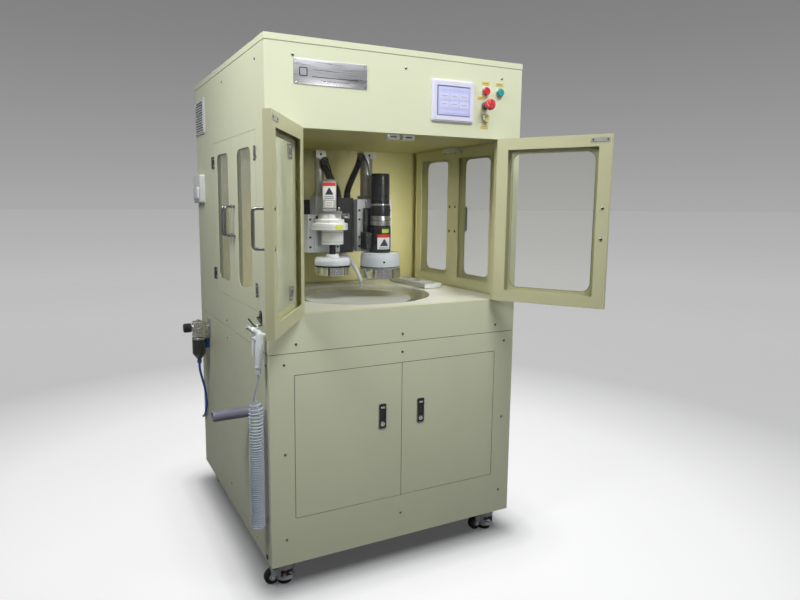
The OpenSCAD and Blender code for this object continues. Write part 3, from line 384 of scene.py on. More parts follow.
def shape_of(bm, k=1.0):
    bm.verts.index_update()
    return [tuple(x / k for x in v.co) for v in bm.verts], [[v.index for v in f.verts] for f in bm.faces]


def rbox(lo, hi, b=1.0, segs=2):
    bm = bmesh.new()
    bmesh.ops.create_cube(bm, size=1.0)
    for v in bm.verts:
        v.co = Vector([(lo[i] + hi[i]) / 2 + v.co[i] * (hi[i] - lo[i]) for i in range(3)])
    b = min(b, 0.45 * min(hi[i] - lo[i] for i in range(3)))
    bmesh.ops.bevel(bm, geom=list(bm.edges), offset=b, segments=segs, profile=0.5, affect="EDGES")
    out = shape_of(bm)
    bm.free()
    return out


def loop(w, h, r, n=6):
    """A rounded rectangle of 28 points."""
    r = max(0.01, min(r, w / 2 - 0.01, h / 2 - 0.01))
    pts = []
    for cx, cy, a in ((1, 1, 0), (-1, 1, 90), (-1, -1, 180), (1, -1, 270)):
        pts += [circle(a + 90 * k / n, r, cx * (w / 2 - r), cy * (h / 2 - r)) for k in range(n + 1)]
    return pts


def band(a, b):
    """Faces between two closed rings of as many points."""
    n = len(a)
    return [[a[k], a[k + 1 - n], b[k + 1 - n], b[k]] for k in range(n)]


def loft(rings):
    """A closed shape through rings of as many points."""
    verts, faces, prev = [], [], None
    for points in rings:
        ring = list(range(len(verts), len(verts) + len(points)))
        verts += points
        faces += band(prev, ring) if prev else [ring[::-1]]
        prev = ring
    return verts, faces + [prev]


def slab(w, h, r, z0, z1, b=0.8, dx=0.0, dy=0.0, steps=3):
    """A rounded-rectangle plate from z0 to z1 with a rounded upper edge."""
    rows = [(w, h, r, z0)]
    for k in range(steps + 1):
        t = math.pi / 2 * k / steps
        d = b * (1 - math.cos(t))
        rows.append((w - 2 * d, h - 2 * d, r - d, z1 - b + b * math.sin(t)))
    return loft([(x + dx, y + dy, z) for x, y in loop(ww, hh, rr)] for ww, hh, rr, z in rows)


def frame_ring(w, h, r, wi, hi, ri, z0, z1):
    verts, rings, faces = [], [], []
    for ww, hh, rr, z in ((w, h, r, z0), (w, h, r, z1), (wi, hi, ri, z1), (wi, hi, ri, z0)):
        points = [(x, y, z) for x, y in loop(ww, hh, rr)]
        rings.append(list(range(len(verts), len(verts) + len(points))))
        verts += points
    for i in range(4):
        faces += band(rings[i], rings[(i + 1) % 4])
    return verts, faces


def catmull(points, per=6):
    """A smooth line through points."""
    p = [Vector(q) for q in points]
    p = [2 * p[0] - p[1]] + p + [2 * p[-1] - p[-2]]
    out = []
    for a, b, c, d in zip(p, p[1:], p[2:], p[3:]):
        for t in [k / per for k in range(per)]:
            square = (2 * a - 5 * b + 4 * c - d) * t * t
            out.append(0.5 * ((2 * b) + (c - a) * t + square + (3 * b - 3 * c + d - a) * t ** 3))
    return out + [p[-2]]


def tube(points, r, sides=12):
    """A tube along points. r is one radius or one for each point."""
    p = [Vector(q) for q in points]
    rs = r if isinstance(r, list) else [r] * len(p)
    n = Vector((0.31, 0.87, 0.38))
    rings = []
    for i, q in enumerate(p):
        t = (p[min(i + 1, len(p) - 1)] - p[max(i - 1, 0)]).normalized()
        n = (n - n.dot(t) * t).normalized()
        b = t.cross(n)
        turns = [2 * math.pi * k / sides for k in range(sides)]
        rings.append([tuple(q + rs[i] * (math.cos(a) * n + math.sin(a) * b)) for a in turns])
    return loft(rings)


def trimmed(shape, y):
    """A closed shape cut off behind a plane across Y and capped there."""
    bm = bmesh.new()
    vs = [bm.verts.new(v) for v in shape[0]]
    for f in shape[1]:
        bm.faces.new([vs[i] for i in f])
    everything = bm.verts[:] + bm.edges[:] + bm.faces[:]
    cut = bmesh.ops.bisect_plane(bm, geom=everything, plane_co=(0, y, 0), plane_no=(0, 1, 0),
                                 clear_outer=True)
    bmesh.ops.edgenet_fill(bm, edges=[g for g in cut["geom_cut"] if isinstance(g, bmesh.types.BMEdge)])
    out = shape_of(bm)
    bm.free()
    return out


def patch(r, a0, a1, z0, z1, thick=0.25, n=10):
    """A label wrapped on an upright drum of radius r."""
    ra, rb = r + 0.12, r + 0.12 + thick
    rings = []
    for a in [a0 + (a1 - a0) * k / n for k in range(n + 1)]:
        rings.append([(*circle(a, ra), z0), (*circle(a, rb), z0), (*circle(a, rb), z1), (*circle(a, ra), z1)])
    return loft(rings)


def islands(name, bevel, segs=2):
    """The CAD node's separate solids, their flat faces joined and their edges rounded."""
    bm = bmesh.new()
    bm.from_mesh(frame["nodes"][name].data)
    bmesh.ops.remove_doubles(bm, verts=bm.verts, dist=3e-6)
    bmesh.ops.dissolve_limit(bm, angle_limit=math.radians(0.35), verts=bm.verts, edges=bm.edges)
    seen = set()
    for start in bm.verts:
        if start in seen:
            continue
        todo, group = [start], []
        seen.add(start)
        while todo:
            v = todo.pop()
            group.append(v)
            for o in [e.other_vert(v) for e in v.link_edges]:
                if o not in seen:
                    seen.add(o)
                    todo.append(o)
        index = {v: i for i, v in enumerate(group)}
        one = bmesh.new()
        vs = [one.verts.new(v.co) for v in group]
        for f in dict.fromkeys(f for v in group for f in v.link_faces):
            one.faces.new([vs[index[v]] for v in f.verts])
        edges = [e for e in one.edges if e.is_manifold and e.calc_face_angle(0) > math.radians(28)]
        if bevel and edges:
            bmesh.ops.bevel(one, geom=edges, offset=bevel * MM, segments=segs, profile=0.5, affect="EDGES",
                            clamp_overlap=True)
        v, f = shape_of(one, MM)
        one.free()
        yield (v, f, Vector([min(p[i] for p in v) for i in range(3)]),
               Vector([max(p[i] for p in v) for i in range(3)]))
    bm.free()


class Piece:
    """One visible piece, gathered from shapes in millimetres."""

    def __init__(self, name):
        self.name, self.v, self.f, self.m, self.mats = name, [], [], [], []

    def index(self, mat):
        if mat not in self.mats:
            self.mats.append(mat)
        return self.mats.index(mat)

    def add(self, shape, mat, *places):
        verts, faces = shape
        for M in places or (None,):
            base = len(self.v)
            self.v += [tuple(M @ Vector(p)) if M is not None else tuple(p) for p in verts]
            self.f += [[base + i for i in f] for f in faces]
            self.m += [self.index(mat)] * len(faces)
        return self

    def turn(self, profile, edge, segs, mat, *places, steps=3):
        return self.add(lathe(rounded(profile, edge, steps), segs), mat, *places)

    def cad(self, name, choose, bevel=1.0, segs=2):
        """Takes the node's solids. choose is a material, or gives one for a solid's corners, or None to
        leave it out. What it gives may itself be a function of a face's centre."""
        for v, f, lo, hi in islands(name, bevel, segs):
            mat = choose(lo, hi) if callable(choose) else choose
            if mat is None:
                continue
            base = len(self.v)
            self.v += v
            for g in f:
                self.f.append([base + i for i in g])
                here = mat(sum((Vector(v[i]) for i in g), Vector()) / len(g)) if callable(mat) else mat
                self.m.append(self.index(here))
        return self

    def done(self, body, nodes=(), slot=None, angle=32):
        me = bpy.data.meshes.new(self.name)
        me.from_pydata([[c * MM for c in p] for p in self.v], [], self.f)
        for mat in self.mats:
            me.materials.append(mat)
        me.polygons.foreach_set("material_index", self.m)
        bm = bmesh.new()
        bm.from_mesh(me)
        bmesh.ops.recalc_face_normals(bm, faces=bm.faces)
        bm.to_mesh(me)
        bm.free()
        me.polygons.foreach_set("use_smooth", [True] * len(me.polygons))
        me.set_sharp_from_angle(angle=math.radians(angle))
        ob = link_object(self.name, me)
        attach(ob, body)
        if nodes:
            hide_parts(*nodes)
        if slot or nodes:
            slot or SLOT[nodes[0]]
        return ob

    def stand_for(self, node):
        return self.done(BODY[node], [node])


def skin(name, choose, bevel=1.0, segs=2):
    return Piece("skin_" + name).cad(name, choose, bevel, segs).stand_for(name)


def by_face(choose):
    return lambda lo, hi: choose


# ------------ enclosure
def foot_or_frame(lo, hi):
    if hi.z < 100 and hi.x - lo.x < 150:
        return lambda c: rubber_and_gap_shade if c.z < 11 else steel
    return black_coat


skin("base_frame", foot_or_frame, 1.5)
skin("lower_front_panel", cream, 1.0)
# the header's inner faces take the darker cream: painted shade
skin("upper_front_panel", by_face(lambda c: cream if c.y < FRONT + 3 else cream_shaded), 1.2)
skin("lower_side_and_rear_panels", cream, 1.0)
# the walls' and the liner's chamber side take the dark cream: painted shade
skin("upper_side_walls", by_face(lambda c: cream if abs(c.x) > HALF_W - 0.6 else chamber_shaded_cream), 1.2)
skin("chamber_liner", chamber_shaded_cream, 0.8)
skin("top_cover", cream, 2.2, 3)
# the deck's top takes the pale cream: painted light; the bowl keeps its own wet finish
skin("deck", by_face(lambda c: (bowl_mat if math.hypot(c.x, c.y - SPINDLE_Y) < 276 and c.z < DECK - 3.4
                                else deck_lit_cream)), 0.8)
skin("vent_grille", grille_white, 0.7)
# dark slabs in the vent slots behind the grille: painted shade for the cabinet's inside
back = Piece("grille_painted_shade")
for k in range(12):
    back.add(slab(131.6, 4.8, 0.4, 0.1, 2.4, 0.2, dy=(k - 5.5) * 9.6), shade_and_print_dark,
             on_left(FRONT + 860, FLOOR + 1477.5))
back.done("cabinet")
# a thin dark band round the top just under the roof's lip: painted shadow
ROOF = (1680.2, 1682.0)
gap = Piece("roof_shadow_line")
for x0, x1, y0, y1 in ((-460.5, 460.5, FRONT - 0.5, FRONT + 1), (-460.5, -459, FRONT + 1, REAR - 1),
                       (459, 460.5, FRONT + 1, REAR - 1)):
    gap.add(rbox((x0, y0, ROOF[0]), (x1, y1, ROOF[1]), 0.3), seal_and_shade_olive)
gap.done("cabinet")
# dark strips just inside the seam at the cabinet's waist: painted shade in the seam
WAIST = (769.1, 770.9)
belt = Piece("waist_shadow_line")
for x0, x1, y0, y1 in ((-457.5, 457.5, FRONT + 1.0, FRONT + 1.8), (-459, -458.2, FRONT + 2.4, REAR - 2.4),
                       (458.2, 459, FRONT + 2.4, REAR - 2.4)):
    belt.add(rbox((x0, y0, WAIST[0]), (x1, y1, WAIST[1]), 0.2), rubber_and_gap_shade)
belt.done("cabinet")
skin("platen_drive", grey_paint, 2.0)
skin("head_mount", black_coat, 1.5)

# lip of the bowl
lip = Piece("deck_trim")
# the lip in the deck's pale cream: painted light
lip.turn([(268.2, DECK - 12), (268.2, DECK - 1.2), (274, DECK - 1.2), (274, DECK - 2.0)], 1.2, 128, deck_lit_cream,
         SPINDLE)
lip.done("cabinet")


def round_screw(r=4.4, h=2.2):
    return lathe([(0, 0.1), (r, 0.1), (r, 0.5), (r * 0.86, h * 0.7), (r * 0.55, h * 0.95), (r * 0.5, h),
                  (r * 0.46, h * 0.55), (0, h * 0.5)], 24)


FRONT_SCREWS = [(-412, 650), (0, 650), (419, 650), (-412, 366), (419, 366), (-410, 86), (0, 86), (415, 86),
                (-373, 711), (0, 711), (378, 711), (0, 1558), (374, 1558), (-374, 1560)]
SIDE_SCREWS = [(-387, 1557), (15, 1557), (25, 708), (18, 646), (14, 80), (-325, 35), (-445, 646), (440, 646)]


def dark_screw(p, M, r=4.4, h=2.2, head=dark_chrome):
    p.add(round_screw(r, h), head, M)
    # a dark disc in the head's hollow: painted shade in the slot
    p.add(lathe([(0, h * 0.52), (r * 0.42, h * 0.56), (r * 0.42, h * 0.62), (0, h * 0.6)], 6), shade_and_print_dark, M)


hw = Piece("hardware")
for x, z in FRONT_SCREWS:
    dark_screw(hw, on_front(x, FLOOR + z))
for y, z in SIDE_SCREWS:
    dark_screw(hw, on_left(y, FLOOR + z))
    dark_screw(hw, MIRROR @ on_left(y, FLOOR + z))


def hardware_part(lo, hi):
    s = hi - lo
    if max(s) < 12:
        return None
    mid = (lo + hi) / 2
    if abs(mid.y - (FRONT + 34)) < 6 and abs(mid.x) < 60 and s.x > 40:
        return None
    if mid.x < -HALF_W and mid.y < -380 and mid.z > 830:
        return None
    if mid.x < -HALF_W and mid.z < 260 and mid.y < -400:
        return chrome
    if s.y > 80 and mid.z > 1400:
        return white_plastic
    if mid.y < FRONT - 1 and mid.z > 1480:
        return None if abs(mid.z - 1551) < 4 else steel
    if min(abs(mid.z - 955), abs(mid.z - 1373)) < 24:
        return dark_chrome
    return steel


hw.cad("cabinet_hardware", hardware_part, 0.5)
# magnetic catches under the header: white cases in the brighter white, painted light, with dark faces
for s in (-1, 1):
    hw.add(rbox((s * 28 - 22, FRONT + 24, 1427), (s * 28 + 22, FRONT + 44, 1442.9), 2.0), lit_white_plastic)
    hw.add(rbox((s * 28 - 12, FRONT + 23.2, 1432.5), (s * 28 + 12, FRONT + 24.4, 1436.5), 0.4), shade_and_print_dark)
    for d in (-17, 17):
        hw.add(drum(0, 1.0, 2.4, 0.3, 16), steel, T(s * 28 + d, FRONT + 24, 1435) @ R("X", 90))
hw.add(pipe(0, 10, 12.6, 10.6, 1.0), stop_collar, on_front(306, FLOOR + 1465, 0.1))
# hook plate and bent wire
hw.add(slab(24, 40, 11.9, 0.1, 3.1, 1.0), black_coat, on_left(-405, DECK - 12))
for d in (-12, 12):
    dark_screw(hw, on_left(-405, DECK - 12 + d, 3.0), 3.2, 1.6, steel)
hook = fillet([(-463, -405, 877), (-473, -405, 877), (-473, -460, 861), (-497, -460, 860.5),
               (-514, -460, 884)], 7)
hw.add(tube(hook, 2.2, 12), black_coat)
hw.add(drum(-1.5, 1.5, 2.6, 1.2, 16), black_plastic, T(-514, -460, 884))
hw.add(pipe(0, 3, 9.5, 3.6, 0.6), white_plastic, T(-472.6, -425, 222) @ R("Y", 90))
# the elbow's hex nut and collar
hw.add(drum(0, 7, 12, 0.8, 6), steel, T(-398, 475.2, 278) @ R("X", -90))
hw.add(pipe(0, 5, 8.8, 5.3, 0.6), blue_ring, T(-413, 505, 278) @ R("Y", 90))

# ------------ glazed doors
# each door's own frame: origin at the foot of its hinge, X across the door, Y inwards
M_FL = T(-372, -479, DECK) @ R("Z", -122)
M_LR = T(-464, 182, DECK) @ R("Z", -90)
M_LF = T(-464, -382, DECK) @ R("Z", -90) @ MIRROR
DOORS = {
    "front_left": (M_FL, 370.5), "front_right": (MIRROR @ M_FL, 370.5),
    "left_front": (M_LF, 280.5), "left_rear": (M_LR, 280.5),
    "right_front": (MIRROR @ M_LF, 280.5), "right_rear": (MIRROR @ M_LR, 280.5),
}
FIXED = {"front_left": T(-372, -479, DECK), "left_rear": M_LR, "left_front": M_LF}
for name, M in list(FIXED.items()):
    FIXED[name + "_m"] = MIRROR @ M
HINGE_SCREWS = [hz + z for hz in (66, 484) for z in (-13, 13)]
for M in FIXED.values():
    for z in HINGE_SCREWS:
        dark_screw(hw, M @ T(-13, 1.9, z) @ R("X", 90), 3.0, 1.4, steel)
hw.stand_for("cabinet_hardware")

# heights of the two ends of every pull handle
HANDLE = (224, 322)
for name, (M, w) in DOORS.items():
    door = name + "_door"
    p = Piece("skin_" + door)
    inverse = M.inverted()

    def part(lo, hi, inverse=inverse):
        size = hi - lo
        if size.z > 500:
            # faces on the door's inner side take the darker cream: painted shade
            return lambda c: cream if (inverse @ c).y < 5.2 else cream_shaded
        if 90 < size.z < 120:
            return None
        return steel if size.z < 20 else dark_chrome

    p.cad(door, part, 1.0)
    hx = w - 18
    z0, z1 = HANDLE
    p.add(tube(fillet([(hx, 3.6, z0), (hx, -29.1, z0), (hx, -29.1, z1), (hx, 3.6, z1)], 11, 7), 4.5, 16),
          dark_chrome, M)
    for z in HANDLE:
        p.turn([(4.4, 0), (6.4, 0), (6.4, 2.2), (5, 3.2), (4.4, 3.2)], 0.5, 24, dark_chrome,
               M @ T(hx, 3.9, z) @ R("X", 90))
        dark_screw(p, M @ T(hx, 26.1, z) @ R("X", -90), 5.4, 2.2)
    for dx in (-57, -12):
        p.add(drum(0, 0.8, 2.8, 0.3, 20), black_plastic, M @ T(1 + w + dx, 27.3, 536) @ R("X", -90))
    for z in HINGE_SCREWS:
        dark_screw(p, M @ T(14, 1.9, z) @ R("X", 90), 3.0, 1.4, steel)
    p.stand_for(door)
    Piece("pane_" + name).cad(name + "_window", acrylic, 0.6).done(BODY[door], [name + "_window"])
    # glazing strip between the pane and the pan
    if name.startswith("front"):
        ww, wh, cz = w - 100, 452, 276
    else:
        ww, wh, cz = 162, 453, 280.5
    strip = Piece("gasket_" + name)
    strip.add(frame_ring(ww + 3, wh + 3, 29, ww - 1.6, wh - 1.6, 27.4, 0, 0.9), seal_and_shade_olive,
              M @ T(1 + w / 2, 6.1, 1 + cz) @ R("X", 90))
    strip.done(BODY[door])

# ------------ lower doors and their locks
# dark strips round the lower doors, set back in the gap: painted shade in the gap
LOWER = (("lower_left_door", T()), ("lower_right_door", MIRROR))
for name, S in LOWER:
    edge = Piece("gap_shade_" + name)
    for lo, hi in (((-379.3, 237), (-378.0, 699)), ((-1.0, 237), (-0.2, 699)), ((-378, 699), (-1, 700.4)),
                   ((-378, 235.6), (-1, 237))):
        edge.add(rbox((lo[0], FRONT + 1.2, lo[1]), (hi[0], FRONT + 8, hi[1]), 0.3), rubber_and_gap_shade, S)
    edge.done(BODY[name])


def lower_door_part(lo, hi):
    height = (hi - lo).z
    return cream if height > 300 else steel if height < 30 else black_plastic


for name, S in LOWER:
    p = Piece("skin_" + name)
    p.cad(name, lower_door_part, 1.0)
    base = S @ on_front(-73, 526)
    p.add(frame_ring(28, 86, 5.5, 24, 82, 4, 0.6, 2.4), dark_chrome, base)
    p.turn([(0, 1.5), (7.6, 1.5), (7.6, 3.6), (6.2, 4.2), (0, 4.2)], 0.5, 32, chrome, base @ T(0, -27, 0))
    # a dark plate for the key slot: painted shade
    p.add(rbox((-0.7, -4.6, 3.9), (0.7, 4.6, 4.5), 0.1, 1), shade_and_print_dark, base @ T(0, -27, 0))
    p.stand_for(name)
for name, S in (("left_lock_lever", T()), ("right_lock_lever", MIRROR)):
    p = Piece("skin_" + name)
    p.cad(name, black_plastic, 0.9, 3)
    p.add(slab(14, 6.4, 1.5, 6.4, 7.6, 0.6), chrome, S @ on_front(-73, 556, -3))
    p.stand_for(name)

# ------------ header: plate, touch panel, buttons, tags
plate = Piece("name_plate")
plate.add(slab(236, 72, 2, 0.1, 1.6, 0.4), brushed, on_front(-254, 1602.5))
for dx in (-111, 111):
    for dz in (-29, 29):
        plate.add(lathe([(0, 1.5), (2.6, 1.5), (2.4, 2.3), (0, 2.6)], 20), chrome,
                  on_front(-254 + dx, 1602.5 + dz))
for w, h, r, z in ((150, 2.2, 1, 1590), (96, 1.4, 0.6, 1580)):
    plate.add(slab(w, h, r, 1.5, 1.75, 0.1), shade_and_print_dark, on_front(-240, z))
plate.add(frame_ring(26, 26, 4, 20, 20, 2, 1.5, 1.8), shade_and_print_dark, on_front(-342, 1602))
plate.done("cabinet", slot="bright_steel")

panel = Piece("touch_screen")
PANEL = on_front(176, FLOOR + 1469, 0.1)
panel.add(slab(162, 132, 6, 0, 6, 1.5), bezel_mat, PANEL)
panel.add(frame_ring(152, 122, 5, 130, 96, 2.5, 5.8, 8.2), bezel_mat, PANEL)
# the slab showing in the gap round the screen is painted shade
panel.add(slab(131, 97, 2, 4, 6.3, 0.2), bezel_gap_shade, PANEL @ T(3, 0, 0))
panel.add(slab(122, 88, 1, 6, 6.9, 0.2), screen_pale, PANEL @ T(3, 0, 0))
panel.add(slab(120, 11, 0.5, 6.7, 7.05, 0.1), screen_head, PANEL @ T(3, 37, 0))
for i in range(3):
    for j in range(2):
        panel.add(slab(32, 20, 1.5, 6.7, 7.05, 0.1), screen_tile, PANEL @ T(3 - 38 + 38 * i, 14 - 26 * j, 0))
        panel.add(slab(22, 2.2, 0.6, 6.9, 7.15, 0.1), screen_dark, PANEL @ T(3 - 38 + 38 * i, 16 - 26 * j, 0))
panel.add(slab(112, 9, 1, 6.7, 7.05, 0.1), screen_head, PANEL @ T(3, -35, 0))
panel.add(slab(3, 3, 1.4, 8.0, 8.5, 0.2), green, PANEL @ T(-70, -54, 0))
panel.stand_for("touch_panel")

for name, x, z, mat in (("red_button", 308, 1511, red), ("green_button", 366, 1511, green),
                        ("yellow_button", 309, 1423, ivory)):
    p = Piece("cap_" + name)
    M = on_front(x, FLOOR + z, 0.5)
    p.turn([(0, 0), (13, 0), (13, 9.2), (11.5, 10.5), (10, 10.3), (0, 9.9)], 0.9, 48, mat, M)
    p.turn([(8.8, 10.0), (9.4, 10.48), (10.0, 10.2)], 0.2, 48, mat, M)
    p.stand_for(name)
p = Piece("cap_emergency_stop")
M = on_front(306, FLOOR + 1465, 0.5)
p.turn([(0, 0), (10, 0), (10, 23), (11, 23.3), (17.4, 27), (18.5, 28.6), (18.5, 34.6), (16, 38.2),
        (10.5, 39.6), (0, 39.9)], 1.6, 64, red, M, steps=4)
for k in range(3):
    arc = [(*circle(120 * k + 30 + math.degrees(t * 0.24), 9.4), 39.35 - abs(t) * 0.02) for t in range(-2, 3)]
    p.add(tube(arc, 0.45, 6), label_white, M)
p.add(hoop(16, 21.5, 9.9, 11.6, 0.5, 48), stop_collar, M)
p.stand_for("emergency_stop")

tags = Piece("legend_tags")
for x, z, w, h in ((308, 1538, 30, 12), (366, 1538, 30, 12), (293, 1489, 34, 12), (306, 1396, 32, 14)):
    M = on_front(x, FLOOR + z)
    tags.add(slab(w, h, 1.2, 0.05, 0.9, 0.25), yellow_tag, M)
    tags.add(slab(w * 0.62, 1.5, 0.5, 0.85, 1.0, 0.05), label_dark, M)
tags.done("cabinet")

# ------------ left side fittings
p = Piece("service_cover")
M = on_left(403, FLOOR + 1193, 0.1)
p.add(slab(124, 114, 9, 0, 20, 5, steps=5), white_plastic, M)
p.add(slab(84, 52, 13, 12, 28, 7, dy=-18, steps=5), white_plastic, M)
p.add(slab(18, 6, 2.5, 27.4, 28.6, 0.6, dy=-18), grey_plastic, M)
p.add(frame_ring(116, 106, 7, 113.6, 103.6, 6, 19.3, 20.15), grey_plastic, M)
p.stand_for("service_box")

DRAIN = T(-588, -270, 536) @ R("Y", 90)
p = Piece("drain")
p.turn([(14, 8), (14, 0.8), (14.8, 0), (16.2, 0), (17, 1), (17, 121.9), (23, 122), (23, 127.9), (17, 127.9)],
       0.8, 64, pvc, DRAIN)
# a dark plug inside the bore: painted shade in the pipe
p.add(lathe([(0, 104), (13.9, 104), (14, 60), (14, 8)], 64), shade_and_print_dark, DRAIN)
p.add(hoop(84, 87, 17.0, 18.2, 0.5, 64), pvc, DRAIN)
p.stand_for("drain_pipe")

RX, RY, RZ = -506.0, 325.0, 713.0
REG = T(RX, RY, RZ)
BONNET = T(RX - 30, RY, RZ + 5) @ R("Y", 90)
p = Piece("regulator")
p.add(rbox((-464, RY - 24, RZ - 36), (-460.1, RY + 24, RZ + 38), 1.0), cast)
p.add(rbox((RX - 22, RY - 21, RZ - 37), (RX + 26, RY + 21, RZ + 30), 5, 4), polished_cast)
p.add(rbox((RX + 20, RY - 14, RZ - 20), (-463, RY + 14, RZ + 20), 3), cast)
p.turn([(0, 0), (15, 0), (15, 4), (17, 5), (17, 66), (15, 71), (0, 71)], 1.2, 48, polished_cast, BONNET)
for k in range(4):
    p.turn([(17.0, 6 + 5 * k), (17.6, 7 + 5 * k), (17.6, 8.6 + 5 * k), (17.0, 9.6 + 5 * k)], 0.3, 48, cast,
           BONNET)
for s in (-1, 1):
    p.turn([(5.7, 9), (5.7, 30), (11, 30), (11, 17), (11, 0)], 0.8, 40, cast,
           T(RX, RY, RZ - 6) @ R("X", 90 * s))
# gauge on the front boss
p.add(drum(30.5, 33, 6, 0.5, 24), steel, T(RX, RY, RZ - 6) @ R("X", 90))
p.add(drum(26, 36, 9, 1.2, 6), steel, REG)
p.turn([(0, -34), (24, -34), (26, -37), (26, -104), (23, -110), (20, -113), (9.5, -127), (8.5, -129),
        (8.5, -145), (0, -145)], 2.0, 56, smoky, REG, steps=4)
p.add(rbox((25.2, -2.2, -101), (26.6, 2.2, -46), 0.6), black_plastic,
      *[REG @ R("Z", 36 * k) for k in range(10)])
p.turn([(24.5, -36), (26.8, -37), (26.8, -44), (25, -45)], 0.6, 56, cast, REG)
p.add(hoop(-141, -134, 8.4, 9.4, 0.4, 32), blue_ring, REG)
p.add(drum(-86, -46, 9.5, 1.5, 40), blue_ring, T(-470, RY + 14, RZ))
p.add(hoop(-60, -54, 9.0, 10.2, 0.5, 40), black_plastic, T(-470, RY + 14, RZ))
for y in (-15, 15):
    for z in (-28, 22):
        dark_screw(p, T(RX - 22, RY + y, RZ + z) @ R("Y", -90), 3.2, 1.8, steel)
p.stand_for("air_regulator")
p = Piece("knob")
p.cad("regulator_knob", black_plastic, 0.7)
p.add(drum(28.4, 29.8, 9, 0.6, 32), blue_ring, T(RX - 30.4, RY, RZ + 5) @ R("Y", -90))
p.stand_for("regulator_knob")

# black cable plug low on the side, as a blank cover
p = Piece("blank_plug")
p.turn([(0, 0.1), (9, 0.1), (9, 2), (7, 3.2), (0, 3.4)], 0.6, 32, black_plastic, on_left(-429, 103))
p.done("cabinet")


# ------------ spray gun and its hose
def moulded(part, name, mat, voxel=0.0011, rounds=7):
    """A moulded piece made from a CAD node by remeshing it finely and relaxing it, so its unions blend."""
    me = frame["nodes"][part].data.copy()
    ob = link_object(name, me)
    rem = ob.modifiers.new("r", "REMESH")
    rem.mode = "VOXEL"
    rem.voxel_size = voxel
    sm = ob.modifiers.new("s", "SMOOTH")
    sm.factor = 0.5
    sm.iterations = rounds
    bpy.context.view_layer.update()
    made = bpy.data.meshes.new_from_object(ob.evaluated_get(bpy.context.evaluated_depsgraph_get()))
    ob.modifiers.clear()
    ob.data = made
    made.materials.clear()
    made.materials.append(mat)
    made.polygons.foreach_set("use_smooth", [True] * len(made.polygons))
    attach(ob, BODY[part])
    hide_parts(part)


# the gun's shell in the brighter white: painted light
moulded("spray_gun", "gun_shell", lit_white_plastic)
gd = Piece("gun_details")
G = T(-488, -460, 714)
gd.turn([(6, -0.5), (8.3, -0.5), (8.3, 12), (7.4, 14.5), (6.0, 14.5)], 0.7, 12, white_plastic, G)
gd.turn([(3.2, 16.5), (6.7, 16.5), (6.7, 21.0), (3.2, 21)], 0.6, 32, grey_plastic,
        G @ T(-16, 0, 136.5) @ R("Y", -58))
for s in (-1, 1):
    gd.add(drum(0, 1.1, 2.2, 0.4, 16), steel, G @ T(-15.5, 6.4 * s, 111) @ R("X", -90 * s))
gd.done("cabinet")
skin("gun_trigger", white_plastic, 1.0, 3)

CX, CY, COIL_R = -493.0, -445.0, 20.5
lead = [(-488, -460, 714), (-488, -460, 702), (-490, -459, 688), (-493, -457, 672),
        (-496, -454, 657), (-498, -451, 645), (-499, -448, 635), (-499, -446, 629)]


def coil_points():
    """The hose's coil from its top turn down: turns touch in the lower half and stretch towards the gun."""
    pts = []
    z, angle, per = 626.0, 189.0, 24
    while z > 222.0:
        low = min(1.0, max(0.0, (z - 400.0) / 226.0))
        pitch = 6.35 + 6.2 * low ** 1.3
        ramp_in = min(1.0, len(pts) / (1.4 * per))
        r = 6.0 + (COIL_R - 6.0) * (ramp_in * ramp_in * (3 - 2 * ramp_in))
        wob = 0.5 * math.sin(z * 0.05) * low
        pts.append((*circle(angle, r, CX + wob, CY), z))
        angle -= 360 / per
        z -= pitch / per
    return pts, angle


coil, last_angle = coil_points()
# turns the whole coil so that its foot meets the tail head on
turn = (90.0 - (last_angle % 360.0)) % 360.0
fixed = []
for i, (x, y, z) in enumerate(coil):
    a = math.radians(turn) * min(1.0, i / (len(coil) * 0.5))
    dx, dy = x - CX, y - CY
    fixed.append((CX + dx * math.cos(a) - dy * math.sin(a), CY + dx * math.sin(a) + dy * math.cos(a), z))
tail = [(-489, -424.6, 222), (-485, -424.9, 222), (-481, -425, 222), (-476, -425, 222), (-472, -425, 222),
        (-469, -425, 222)]
hose_line = [Vector(q) for q in catmull(lead, 4)[:-1] + fixed + tail]


def cord_curve(name, pts, r, mat):
    cu = bpy.data.curves.new(name, "CURVE")
    cu.dimensions = "3D"
    cu.bevel_depth = r * MM
    cu.bevel_resolution = 3
    cu.use_fill_caps = True
    sp = cu.splines.new("POLY")
    sp.points.add(len(pts) - 1)
    for q, p in zip(pts, sp.points):
        p.co = (q[0] * MM, q[1] * MM, q[2] * MM, 1)
    sp.use_smooth = True
    cu.materials.append(mat)
    return link_object(name, cu)


def run(pts):
    return sum((Vector(b) - Vector(a)).length for a, b in zip(pts, pts[1:])) * MM


hose = cord_curve("rinse_hose", hose_line, 3.0, hose_mat)
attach(hose, "cabinet")
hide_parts("gun_hose", "gun_hose_coil")
[c * MM for c in hose_line[0]]
run(hose_line)

AIR = [(-506, 325, 568), (-506, 326, 552), (-504, 329, 536), (-500, 334, 520), (-495, 341, 502),
       (-489, 350, 482), (-482, 360, 458), (-476, 370, 432), (-472, 378, 406), (-469, 386, 380),
       (-468, 396, 355), (-468, 410, 333), (-468, 428, 314), (-468, 448, 300), (-468, 466, 291),
       (-466, 480, 286), (-461, 492, 283), (-452, 501, 281), (-440, 505, 279), (-425, 505, 278),
       (-408, 505, 278)]
air_line = catmull(AIR, 4)
air = cord_curve("blue_air_tube", air_line, 5.0, blue_tube)
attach(air, "cabinet")
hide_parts("air_tube")
[c * MM for c in AIR[0]]
run(air_line)

